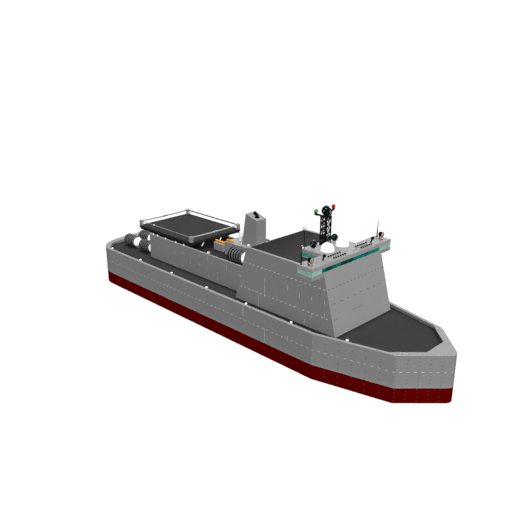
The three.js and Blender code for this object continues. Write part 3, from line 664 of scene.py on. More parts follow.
for k in (1, -1):
    # butts in the parallel sides: long in the lower strake at every eighth frame, long above at the frames between
    for st in range(-40, 1, 4):
        y = k * L(7.5)
        nrm = (0, k, 0)
        low, high = (L(2.15), L(4.0)), (L(4.45), L(6.0))
        if st % 8 == 0:
            vseam(X(st), y, *((L(2.2), L(4.0)) if st == -8 else (L(2.85), L(3.0))), nrm)
            vseam(X(st), y, L(4.95), L(5.05), nrm)
        else:
            vseam(X(st), y, *((L(4.5), L(6.0)) if st == -12 else (L(4.25), L(4.4))), nrm)
            vseam(X(st), y, L(2.95), L(3.1), nrm)
    vseam(X(-4), k * L(7.5), L(3.7), L(4.3), (0, k, 0), 0.014)
    # rivet columns on the bow plates
    taper = Vector((10, -2.5)).normalized()
    nt = Vector((2.5, 10 * 1.0)).normalized()
    for c in range(1, 6):
        s = c * 1.72
        px, py = X(s * taper.x), L(7.5 - s * 0.2425)
        zz = 0.55 + (0.33 if c % 2 else 0.0)
        while zz < 5.9:
            if zz > 0.4 and abs(zz - 2.0) > 0.12:
                mb.button((px, k * py, L(zz)), (nt.x, k * nt.y, 0), 0.034, 0.008, "dot", 6)
            zz += 0.86
    n45 = Vector((1, 1)).normalized()
    for c in range(0, 5):
        s = 0.12 + c * 1.30
        if s > 5.5:
            continue
        px, py = X(10 + s * 0.7071), L(5 - s * 0.7071)
        zz = 0.32 + (0.25 if c % 2 else 0.0)
        while zz < 5.9:
            if abs(zz - 2.0) > 0.1:
                mb.button((px, k * py, L(zz)), (n45.x, k * n45.y, 0), 0.030, 0.008, "dot", 6)
            zz += 0.5
mb.make("hull_welds", "hull", "hull_grey", weld=False)

# boot-top line: a thin raised bead where the red bottom paint stops
mb = MB()
outer, inner = offset_path([Vector(p) for p in LOOP], -0.006), [Vector(p) for p in LOOP]
n = len(LOOP)
for rim, zc in ((0, L(2.0)),):
    vs = []
    for p, q in zip(outer, inner):
        o = Vector(q) + (Vector(p) - Vector(q))
        vs += [(q[0], q[1], zc - 0.012), (o[0], o[1], zc - 0.006), (o[0], o[1], zc + 0.006), (q[0], q[1], zc + 0.012)]
    fs = []
    for i in range(n):
        j = (i + 1) % n
        for a in range(3):
            fs.append([i * 4 + a, j * 4 + a, j * 4 + a + 1, i * 4 + a + 1])
    mb.add(vs, fs, "hull")
mb.make("boot_line_bead", "hull", "hull_grey", weld=False)

# ------------------------------------------------------------------ bulwark cap and deck-edge fittings
mb = MB()
inner_edge = [(X(-47.15), L(2.6)), (X(-47.05), L(4.5)), (X(-46.5), L(5.55)), (X(-45.6), L(6.4)), (X(-44.4), L(7.08)), (X(0), L(7.08)), (X(8.95), L(4.87)), (X(12), L(1.82))]
outer_edge = [(X(-44 - 4.7 * math.cos(t) ** (2 / 2.4)), L(7.5) * math.sin(t) ** (2 / 2.4)) for t in (math.pi / 48 * i for i in range(25))]
for k in (1, -1):
    # rounded nosing along the outer top edge of the bulwark and along its inner edge
    path = [(x, k * y, L(6.1) - 0.006) for x, y in offset_path([Vector(p) for p in OUT_P], 0.012)]
    mb.tube(path, 0.017, "cap", 8)
    path = [(x, k * y, L(6.1) - 0.004) for x, y in inner_edge]
    mb.tube(path, 0.012, "cap", 8)
mb.tube([(X(12), L(1.82), L(6.1) - 0.004), (X(12), -L(1.82), L(6.1) - 0.004)], 0.012, "cap", 8)
mb.tube([(X(-47.15), L(2.6), L(6.1) - 0.004), (X(-47.15), -L(2.6), L(6.1) - 0.004)], 0.012, "cap", 8)
# knee brackets inside the bulwark
for k in (1, -1):
    for st in [q * 1.0 for q in range(-43, 0, 2)]:
        y = k * L(7.08)
        poly = [(y, L(5.7)), (y, L(6.02)), (y - k * 0.02, L(6.02)), (y - k * 0.13, L(5.72)), (y - k * 0.13, L(5.7))]
        mb.prism(poly if k > 0 else poly, X(st) - 0.006, X(st) + 0.006, "house", axis="x")
mb.make("bulwark_cap", "hull", "hull_grey")


def deck_light(b, x, y, z, r=0.088):
    """A round white lamp on a flanged foot, with a wire guard."""
    b.lathe([(0, 0), (r * 0.95, 0), (r * 0.95, 0.012), (r * 0.55, 0.018), (r * 0.5, 0.03), (0, 0.03)], "cap", (x, y, z), n=20)
    b.ball((x, y, z + 0.022 + r), r, "white", 20, 14)
    b.torus((x, y, z + 0.022 + r), r + 0.004, 0.008, "steel", n=24, m=6)
    b.torus((x, y, z + 0.022 + r), r + 0.003, 0.007, "steel", "y", 24, 6)


mb = MB()
ztop = L(6.1) + 0.002
for k in (1, -1):
    for i in range(6):
        deck_light(mb, X(-43.6 + 8 * i), k * L(7.29), ztop)
    deck_light(mb, X(4.2), k * L(6.24), ztop)
mb.make("deck_lights_bulwark", "hull", "dome_white")
mb = MB()
for k in (1, -1):
    deck_light(mb, X(-22.94), k * L(3.97), L(9.62) + 0.002)
    deck_light(mb, X(-12.8), k * L(5.63), L(13.52) + 0.002)
mb.make("deck_lights_houses", "hull", "dome_white")

# ------------------------------------------------------------------ deckhouse seams
mb = MB()
rake_dir = Vector((2.1 - 0.0, 0, 5.72 - 13.4))  # down the front face
rake_len = rake_dir.length
front_n = Vector((7.68, 0, 2.1)).normalized()


def front_pt(y, z, off=0.0):
    """A point on the raked front face, in metres, at half-breadth y and level z in frames."""
    s = 2.1 + (0.0 - 2.1) * (z - 5.72) / (13.4 - 5.72)
    return Vector((X(s), L(y), L(z))) + front_n * off


def aft_x(z):
    return -15.2 + (-13.1 + 15.2) * (z - 5.72) / (13.4 - 5.72)


def fore_x(z):
    return 2.1 - 2.1 * (z - 5.72) / (13.4 - 5.72)


for k in (1, -1):
    y, nrm = k * L(5.8), (0, k, 0)
    for z in (11.35, 7.98):
        run = [(X(aft_x(z) + 0.15), y), (X(fore_x(z) - 0.15), y)]
        dashes(run, L(z) if z > 9 else L(7.72), 0.37, 0.17, 0.021, "seam", side=-1 if k > 0 else 1)
    for st, z0, z1 in ((-9.68, 7.45, 10.0), (-10.78, 5.75, 7.35), (-5.65, 9.5, 10.3), (-3.65, 9.15, 9.8), (-1.71, 9.38, 9.88), (0.3, 9.4, 9.95), (-1.62, 7.2, 7.65), (0.38, 7.88, 8.3), (-2.73, 6.1, 6.6), (-14.19, 8.95, 9.35)):
        vseam(X(st), y, L(z0), L(z1), nrm, 0.0155)
    mb.button((X(-14.5), y, L(8.3)), nrm, 0.02, 0.008, "dot", 6)


def face_dash(y0, y1, z, h=0.017, key="dash", out=0.005):
    a, b = front_pt(y0, z, -0.003), front_pt(y1, z, -0.003)
    up = -rake_dir.normalized()
    vs = [a - up * h, b - up * h, b + up * h, a + up * h]
    vs += [p + front_n * (out + 0.003) for p in vs]
    fs = [[4, 5, 6, 7], [0, 1, 5, 4], [1, 2, 6, 5], [2, 3, 7, 6], [3, 0, 4, 7]]
    mb.add(vs, fs, key)


y = -5.45
while y < 5.5:
    face_dash(y, y + 0.16, 11.35, 0.022)
    y += 0.72
y = -5.0
while y < 5.2:
    face_dash(y, y + 0.38, 9.55)
    y += 1.32
face_dash(-1.8, 0.35, 7.95, 0.009)
face_dash(-5.5, -4.85, 7.72, 0.009)
# edge bead at the front corners of the deckhouse
for k in (1, -1):
    a, b = front_pt(k * 5.8, 5.8, 0), front_pt(k * 5.8, 12.9, 0)
    mb.tube([a + Vector((-0.008, -k * 0.008, 0)), b + Vector((-0.008, -k * 0.008, 0))], 0.014, "house", 8)
    mb.tube([(X(aft_x(5.8)) + 0.008, k * (L(5.8) - 0.008), L(5.8)), (X(aft_x(13.6)) + 0.008, k * (L(5.8) - 0.008), L(13.48))], 0.014, "house", 8)
    # nosings on the roof coaming
    mb.tube([(X(aft_x(13.52)) + 0.01, k * (L(5.8) - 0.008), L(13.52) - 0.008), (X(-2.45), k * (L(5.8) - 0.008), L(13.52) - 0.008)], 0.014, "cap", 8)
    mb.tube([(X(aft_x(13.52)) + 0.01, k * (L(5.45) + 0.006), L(13.52) - 0.006), (X(-2.45), k * (L(5.45) + 0.006), L(13.52) - 0.006)], 0.011, "cap", 8)
mb.make("deckhouse_welds", "hull", "hull_grey", weld=False)

# ------------------------------------------------------------------ after house: ticks, brackets, deck edge
mb = MB()
TICKS = [(-35.0, 7.96, .09), (-34.9, 6.47, .07), (-32.95, 8.48, .09), (-33.0, 6.84, .09), (-30.95, 7.96, .12), (-31.0, 6.2, .12), (-28.9, 8.29, .12), (-29.0, 6.3, .13), (-27.02, 7.33, .18), (-24.85, 7.57, .2), (-23.05, 9.0, .32), (-22.93, 6.3, .25), (-20.89, 6.4, .28), (-18.9, 8.6, .4), (-16.3, 8.18, .22)]
for k in (1, -1):
    for st, z, h in TICKS:
        vseam(X(st), k * L(4.1), L(z - h), L(z + h), (0, k, 0), 0.0125)
    mb.tube([(X(-37.3) + 0.01, k * (L(4.1) - 0.008), L(9.62) - 0.008), (X(-15.78), k * (L(4.1) - 0.008), L(9.62) - 0.008)], 0.014, "cap", 8)
    mb.tube([(X(-37.05), k * (L(3.85) + 0.006), L(9.62) - 0.006), (X(-15.9), k * (L(3.85) + 0.006), L(9.62) - 0.006)], 0.011, "cap", 8)
    mb.tube([(X(-37.3) + 0.008, k * (L(4.1) - 0.008), L(5.75)), (X(-37.3) + 0.008, k * (L(4.1) - 0.008), L(9.6))], 0.014, "house", 8)
    # small white brackets that stand on the coaming
    for st in (-36.4, -35.27, -33.18, -30.6, -28.63):
        x, y = X(st), k * L(3.98)
        mb.box(x - 0.05, x + 0.05, y - 0.045, y + 0.045, L(9.62), L(9.62) + 0.02, "white", 0.003)
        mb.tube([(x - 0.035, y, L(9.62) + 0.01), (x - 0.035, y, L(9.62) + 0.11), (x + 0.01, y + k * 0.01, L(9.62) + 0.155), (x + 0.08, y + k * 0.03, L(9.62) + 0.14)], 0.038, "white", 8)
mb.tube([(X(-37.3) + 0.008, -L(4.1), L(9.62) - 0.008), (X(-37.3) + 0.008, L(4.1), L(9.62) - 0.008)], 0.014, "cap", 8)
mb.make("after_house_fittings", "hull", "hull_grey", weld=False)

# leaning white rods on the after house roof
mb = MB()
for (x, y, z0, z1, dx, dy) in ((-26.9, -1.84, 9.46, 10.15, 0.3, 0.2), (-26.5, 1.28, 9.46, 10.18, 0.12, 0.34)):
    a, b = Vector((X(x), L(y), L(z0))), Vector((X(x + dx), L(y + dy), L(z1)))
    mb.lathe([(0, 0), (0.05, 0), (0.05, 0.012), (0.03, 0.03), (0, 0.03)], "white", a, n=16)
    m = a.lerp(b, 0.55) + Vector((0, -0.012, 0))
    mb.tube([a + Vector((0, 0, 0.02)), a.lerp(m, 0.6), m, m.lerp(b, 0.5) + Vector((0, 0.01, 0)), b], 0.03, "white", 10, radii=[0.045, 0.043, 0.04, 0.034, 0.028])
mb.make("roof_rods", "hull", "dome_white")

# ------------------------------------------------------------------ raised platform: edge, posts, chains
mb = MB()
px0, px1, ph, pu, pt = X(-38.65), X(-25.65), L(4.98), L(10.58), L(10.95)
# a black kick plate round the edge, with a rounded lower corner
for (a, b, n_) in (((px0, -ph), (px1, -ph), (0, -1)), ((px1, -ph), (px1, ph), (1, 0)), ((px1, ph), (px0, ph), (0, 1)), ((px0, ph), (px0, -ph), (-1, 0))):
    a, b, n_ = Vector(a), Vector(b), Vector(n_)
    for off, z0, z1 in ((0.007, pu + 0.012, pt - 0.03),):
        vs = [(p.x + n_.x * o, p.y + n_.y * o, z) for z in (z0, z1) for p in (a, b) for o in (0.0005, off)]
        fs = [[1, 3, 7, 5], [5, 7, 6, 4], [1, 0, 2, 3]]
        mb.add(vs, [f for f in fs], "fascia")
    mb.tube([(a.x + n_.x * 0.006, a.y + n_.y * 0.006, pu + 0.014), (b.x + n_.x * 0.006, b.y + n_.y * 0.006, pu + 0.014)], 0.012, "fascia", 8)
    mb.tube([(a.x, a.y, pt - 0.012), (b.x, b.y, pt - 0.012)], 0.013, "fascia", 8)
# deep beams under the platform, in near black that paints the shade beneath it
for st in range(-38, -25, 1):
    mb.box(X(st) - 0.03, X(st) + 0.03, -ph + 0.05, ph - 0.05, pu - 0.12, pu - 0.001, "under", 0.004)
for k in (1, -1):
    mb.box(px0 + 0.05, px1 - 0.05, k * (ph - 0.09) - 0.03, k * (ph - 0.09) + 0.03, pu - 0.13, pu - 0.001, "under", 0.004)
mb.make("platform_edge", "hull", "deck_dark", weld=False)

mb = MB()
PX0, PX1, PY, PZ0, PZ1 = X(-38.4), X(-25.9), L(4.73), L(10.95) + 0.0006, L(11.8)
for x in (PX0, PX1):
    for k in (1, -1):
        y = k * PY
        mb.box(x - 0.123, x + 0.123, y - 0.123, y + 0.123, PZ0, PZ1 - 0.03, "house", 0.012)
        mb.box(x - 0.125, x + 0.125, y - 0.125, y + 0.125, PZ1 - 0.032, PZ1, "house", 0.008)
        mb.box(x - 0.130, x + 0.130, y - 0.130, y + 0.130, PZ0, PZ0 + 0.02, "house", 0.004)
        # white eyes where the chains hook on
        mx, sy = (1 if x == PX0 else -1), -k
        mb.torus((x + mx * 0.165, y, L(11.36)), 0.046, 0.018, "white", "y", 20, 8)
        mb.cyl((x + mx * 0.12, y, L(11.36)), (x + mx * 0.135, y, L(11.36)), 0.035, "steel", n=14)
        mb.torus((x, y + sy * 0.165, L(11.36)), 0.046, 0.018, "white", "x", 20, 8)
        mb.cyl((x, y + sy * 0.12, L(11.36)), (x, y + sy * 0.135, L(11.36)), 0.035, "steel", n=14)
mb.make("platform_posts", "hull", "rail_grey", replaces=("platform_rails",), weld=False)


def chain(b, p, q, sag, link=0.075, wire=0.011, key="chain"):
    """Oval links laid along a shallow curve between two hooks."""
    p, q = Vector(p), Vector(q)
    n = max(6, int((q - p).length / (link * 0.74)))
    pts = []
    for i in range(n + 1):
        t = i / n
        pts.append(p.lerp(q, t) + Vector((0, 0, -sag * 4 * t * (1 - t))))
    for i in range(n):
        a, c = pts[i], pts[i + 1]
        d = (c - a).normalized()
        side_ = d.cross(Vector((0, 0, 1))).normalized()
        upv = side_.cross(d)
        w = side_ if i % 2 else upv
        mid = (a + c) / 2
        half = link * 0.5
        loop = []
        for j in range(10):
            t = 2 * math.pi * j / 10
            loop.append(mid + d * half * math.cos(t) + w * link * 0.3 * math.sin(t))
        b.tube(loop, wire, key, 5, closed=True)


mb = MB()
rz = L(11.64)
for x, key in ((PX1, "chain"), (PX0, "dkchain")):
    a, c = Vector((x, -PY + 0.125, rz)), Vector((x, PY - 0.125, rz))
    m = (a + c) / 2 + Vector((0, 0, -0.035))
    chain(mb, a, m + Vector((0, -0.16, 0)), 0.014, 0.13, 0.021, key)
    chain(mb, m + Vector((0, 0.16, 0)), c, 0.014, 0.13, 0.021, key)
    # turnbuckle in the middle
    mb.ball(m, 0.095, key, 16, 10, (0.62, 1.7, 0.62))
    mb.cyl(m + Vector((0, -0.22, 0)), m + Vector((0, 0.22, 0)), 0.03, key, n=10)
    for s_ in (-1, 1):
        mb.torus(m + Vector((0, s_ * 0.13, 0)), 0.062, 0.016, key, "y", 16, 6)
mb.make("platform_chains", "hull", "rail_grey", weld=False)
mb = MB()
# starboard: a plain rod with a ball; port: a thick twisted rail
mb.tube([(PX0 + 0.125, -PY, rz), (PX1 - 0.125, -PY, rz)], 0.026, "house", 10)
mb.ball((X(-35.0), -PY, rz), 0.052, "white", 16, 10)
n_ = 110
for s_ in (0, 1, 2):
    pts = []
    for i in range(n_ + 1):
        t = i / n_
        a = t * 2 * math.pi * 11 + s_ * 2 * math.pi / 3
        pts.append((PX0 + 0.125 + t * (PX1 - PX0 - 0.25), PY + 0.028 * math.cos(a), rz + 0.028 * math.sin(a)))
    mb.tube(pts, 0.030, "dkchain", 7)
for i in range(9):
    x = PX0 + 0.6 + i * (PX1 - PX0 - 1.2) / 8
    mb.torus((x, PY, rz), 0.055, 0.02, "dkchain", "x", 16, 6)
mb.make("platform_rods", "hull", "rail_grey", weld=False)


# ------------------------------------------------------------------ mooring reels
def reel(name, body, x0, y, z, r, ln=1.325):
    """A drum wound with thick line: five deep coils between dark gaps, each with grey crest turns and white clips that
    paint its sheen and glints, with a white domed end.
    """
    b = MB()
    core = r * 0.74
    b.lathe([(0, 0.03), (core, 0.03), (core, ln - 0.02), (0, ln - 0.02)], "blackmatt", (x0, y, z), "x", 32)
    cheeks = 5
    pitch = (ln - 0.05) / cheeks
    for i in range(cheeks):
        cx = x0 + 0.025 + pitch * (i + 0.5)
        # a fat coil made of turns of line
        for rr, off in ((r - 0.002, -0.020), (r - 0.002, 0.020), (r * 0.93, -0.050), (r * 0.93, 0.050), (r * 0.85, -0.064), (r * 0.85, 0.064)):
            # painted sheen: the crest turns of each coil are grey, the others black
            b.torus((cx + off, y, z), rr - 0.030, 0.030, "ridge" if abs(off) < 0.03 else "black", "x", 40, 8)
        # white clips low on each coil, painted highlights for the glints on the line
        for a, q in ((-112, 0.9), (-70, 0.7), (66, 0.7), (140, 0.7)):
            t = math.radians(a + 9 * i)
            p = Vector((cx + 0.012, y + (r - 0.003 - 0.040 * q) * math.sin(t), z + (r - 0.003 - 0.040 * q) * math.cos(t)))
            b.ball(p, 0.040 * q, "white", 10, 6, (0.9, 1, 1))
    # after flange
    b.lathe([(0, 0.0), (r * 0.97, 0.0), (r * 0.99, 0.008), (r * 0.99, 0.03), (r * 0.90, 0.04), (0, 0.04)], "black", (x0, y, z), "x", 40)
    # white domed end with its rim
    cap = r * 0.86
    prof = [(r * 0.72, ln - 0.035), (cap, ln - 0.02), (cap, ln)]
    for i in range(11):
        t = i / 10 * math.pi / 2
        prof.append((cap * math.cos(t) if i < 10 else 0.0, ln + cap * 0.355 * math.sin(t)))
    b.lathe(prof, "dome", (x0, y, z), "x", 40)
    b.cyl((x0 - 0.15, y, z), (x0 + 0.02, y, z), 0.034, "steel", n=16)
    b.cyl((x0 - 0.045, y, z), (x0 - 0.005, y, z), 0.085, "steel", n=20)
    b.make(name, body, "reel_black", replaces=(body,), weld=False)


RZD = L(5.69) + L(0.93) + 0.026
RZH = L(9.46) + 0.0004 + L(1.0) + 0.026
REELS = (("reel_aft_starboard", -45.35, -2.85), ("reel_fwd_starboard", -41.1, -2.85), ("reel_aft_centre", -45.35, 0), ("reel_aft_port", -45.35, 2.85), ("reel_fwd_port", -41.1, 2.85))
for nm, sx, yy in REELS:
    reel(nm + "_wound", nm, X(sx), L(yy), RZD, L(0.93))
for s, k in (("port", 1), ("starboard", -1)):
    reel("reel_house_" + s + "_wound", "reel_house_" + s, X(-18.85), k * L(2.92), RZH, L(1.0))

# trestle details: bearing caps and feet bolts
mb = MB()
spots = [(X(a), L(b), RZD, L(5.69)) for _, a, b in REELS] + [(X(-18.85), k * L(2.92), RZH, L(9.46)) for k in (1, -1)]
for x, y, z, foot in spots:
    mb.torus((x - 0.157, y, z), 0.062, 0.012, "steel", "x", 24, 8)
    for a in range(4):
        t = math.pi / 4 + a * math.pi / 2
        mb.button((x - 0.150, y + 0.105 * math.cos(t), z - 0.02 + 0.062 * math.sin(t)), (-1, 0, 0), 0.016, 0.012, "steel", 6)
    for a in (-1, 1):
        mb.prism([(x - 0.149, foot + 0.017), (x - 0.149, foot + 0.2), (x - 0.143, foot + 0.2), (x - 0.02 if False else x - 0.143, foot + 0.017)], y + a * 0.12 - 0.004, y + a * 0.12 + 0.004, "steel", "y")
mb.make("reel_bearings", "hull", "plain_steel", weld=False)

# ------------------------------------------------------------------ lattice mast
mb = MB()
mx, mh = X(-4.6), L(0.455)
mz0, mz1 = L(14.46) + 0.0004, L(18.25)
corners = [(mx + a * mh, b * mh) for a, b in ((-1, -1), (1, -1), (1, 1), (-1, 1))]
for cx, cy in corners:
    mb.tube([(cx, cy, mz0), (cx, cy, mz1)], 0.046, "black", 12)
    mb.lathe([(0, 0), (0.075, 0), (0.075, 0.014), (0.05, 0.03), (0, 0.03)], "black", (cx, cy, mz0), n=18)
bays = 4
hh = (mz1 - mz0 - 0.09) / bays
for kx in range(bays + 1):
    z = mz0 + 0.045 + hh * kx
    for i in range(4):
        p, q = corners[i], corners[(i + 1) % 4]
        mb.tube([(*p, z), (*q, z)], 0.026, "black", 8)
        if kx < bays:
            mb.tube([(*p, z), (*q, z + hh)], 0.024, "black", 8)
            mb.tube([(*q, z), (*p, z + hh)], 0.024, "black", 8)
            c = ((p[0] + q[0]) / 2, (p[1] + q[1]) / 2, z + hh / 2)
            mb.ball(c, 0.04, "black", 10, 8)
        mb.ball((*p, z), 0.058, "black", 10, 8)
# head plate and the lamp arms
mb.box(mx - mh - 0.045, mx + mh + 0.045, -mh - 0.045, mh + 0.045, mz1 - 0.03, mz1 + 0.04, "black", 0.008)
for k in (1, -1):
    mb.tube([(mx, k * L(0.42), mz1 + 0.02), (mx - 0.06, k * L(0.9), L(18.50)), (mx - 0.12, k * L(1.40), L(18.70)), (mx - 0.12, k * L(1.72), L(18.76))], 0.066, "black", 12)
    mb.tube([(mx, k * L(0.5), mz1 - 0.30), (mx, k * L(1.1), L(18.5))], 0.04, "black", 10)
    mb.lathe([(0, -0.045), (0.098, -0.045), (0.102, -0.03), (0.102, 0.03), (0.09, 0.045), (0, 0.045)], "black", (mx - 0.12, k * L(1.72), 9.425), n=24)
# cable tray up the middle of the after face
mb.box(mx - mh - 0.008, mx - mh + 0.02, -0.05, 0.05, mz0 + 0.02, mz1 - 0.04, "blackmatt", 0.004)
mb.make("lattice_mast_tubes", "hull", "gear_black", replaces=("lattice_mast",))
for s, k, key, nd in (("starboard", -1, "green", "starboard_light"), ("port", 1, "redl", "port_light")):
    mb = MB()
    c = (mx - 0.12, k * L(1.72), 9.592)
    mb.ball(c, 0.118, key, 28, 18)
    mb.lathe([(0, -0.12), (0.085, -0.12), (0.085, -0.095), (0.05, -0.085), (0, -0.085)], "black", c, n=24)
    for a in range(4):
        t = a * math.pi / 4
        mb.tube([(c[0] + 0.121 * math.cos(w_) * math.cos(t), c[1] + 0.121 * math.cos(w_) * math.sin(t), c[2] + 0.121 * math.sin(w_)) for w_ in [math.radians(-60 + 300 * i / 20) for i in range(21)]], 0.013, "black", 6)
    mb.make("running_light_" + s, "hull", key and ("green_lens" if key == "green" else "red_lens"), replaces=(nd,))


# ------------------------------------------------------------------ sensor heads
def sensor(name, body, c, r, node, foot_z, big=False):
    b = MB()
    c = Vector(c)
    b.ball(c, r * 0.97, "black", 36, 24)
    # round optical windows let into the head, each in a raised bezel; their pale teal paints the glints on the black
    # head
    spots = [(0, 0, .72), (40, 22, .40), (-36, -16, .44), (80, -6, .42), (-80, 10, .42), (125, 12, .4), (-125, 12, .4), (180, 0, .5), (18, -36, .32), (-58, 40, .32), (100, 40, .3), (150, -30, .32), (-150, 38, .3)]
    for az, el, q in spots:
        d = Vector((math.cos(math.radians(az)) * math.cos(math.radians(el)), math.sin(math.radians(az)) * math.cos(math.radians(el)), math.sin(math.radians(el))))
        w = r * 0.30 * q
        p0 = c + d * (r * 0.84)
        b.cyl(p0, c + d * r * 1.0, w * 1.22, "black", n=18)
        b.cyl(c + d * r * 0.99, c + d * r * 1.004, w, "facet", n=18)
    b.lathe([(0, foot_z - c.z), (r * 0.42, foot_z - c.z), (r * 0.42, foot_z - c.z + 0.02), (r * 0.3, foot_z - c.z + 0.05), (r * 0.3, -r * 0.7), (0, -r * 0.7)], "black", c, n=24)
    for i in range(8):
        t = 2 * math.pi * i / 8
        b.button(c + Vector((r * 0.36 * math.cos(t), r * 0.36 * math.sin(t), foot_z - c.z + 0.02)), (0, 0, 1), 0.012, 0.008, "blackmatt", 6)
    b.lathe([(r * 0.5, r * 0.78), (r * 0.46, r * 0.96), (r * 0.30, r * 1.02), (0, r * 1.02)], "black", c, n=24)
    # pale teal cap on top: a painted glint
    b.ball(c + Vector((0, 0, r * 1.02)), r * 0.16, "facet", 14, 8)
    # lugs round the waist
    for i in range(5):
        t = 2 * math.pi * (i + 0.5) / 5
        b.box(-0.03, 0.03, -0.03, 0.03, -0.025, 0.025, "black", 0.006, Matrix.Translation(c + Vector((r * 0.95 * math.cos(t), r * 0.95 * math.sin(t), -r * 0.3))) @ Matrix.Rotation(t, 4, "Z"))
    b.make(name, body, "gear_black", replaces=(node,), weld=False)


sensor("mast_head_optics", "mast_sensor", (X(-4.6), 0, L(18.98)), L(0.62), "mast_sensor", L(18.25) + 0.047)
for s, k in (("port", 1), ("starboard", -1)):
    sensor("sensor_head_" + s, "sensor_ball_" + s, (X(-4.75), k * L(2.1), L(14.98)), L(0.47), "sensor_ball_" + s, L(14.46) + 0.037)

# ------------------------------------------------------------------ radomes
RZ = L(14.46) + 0.0004
for s, k in (("port", 1), ("starboard", -1)):
    mb = MB()
    R = L(0.87)
    prof = [(0, 0.0), (R * 0.97, 0.0), (R * 1.0, 0.006), (R * 1.0, 0.02), (R * 0.965, 0.028), (R * 0.975, 0.055)]
    for i in range(17):
        t = i / 16 * math.pi / 2
        prof.append((R * 0.99 * math.cos(t) if i < 16 else 0.0, L(0.14) + R * 0.985 * math.sin(t)))
    mb.lathe(prof, "dome", (X(-3.0), k * L(1.5), RZ), n=64)
    for i in range(16):
        t = 2 * math.pi * i / 16
        mb.button((X(-3.0) + R * 0.983 * math.cos(t), k * L(1.5) + R * 0.983 * math.sin(t), RZ + 0.022), (0, 0, 1), 0.009, 0.006, "pale", 6)
    mb.make("radome_shell_" + s, "hull", "dome_white", replaces=("radome_" + s,))

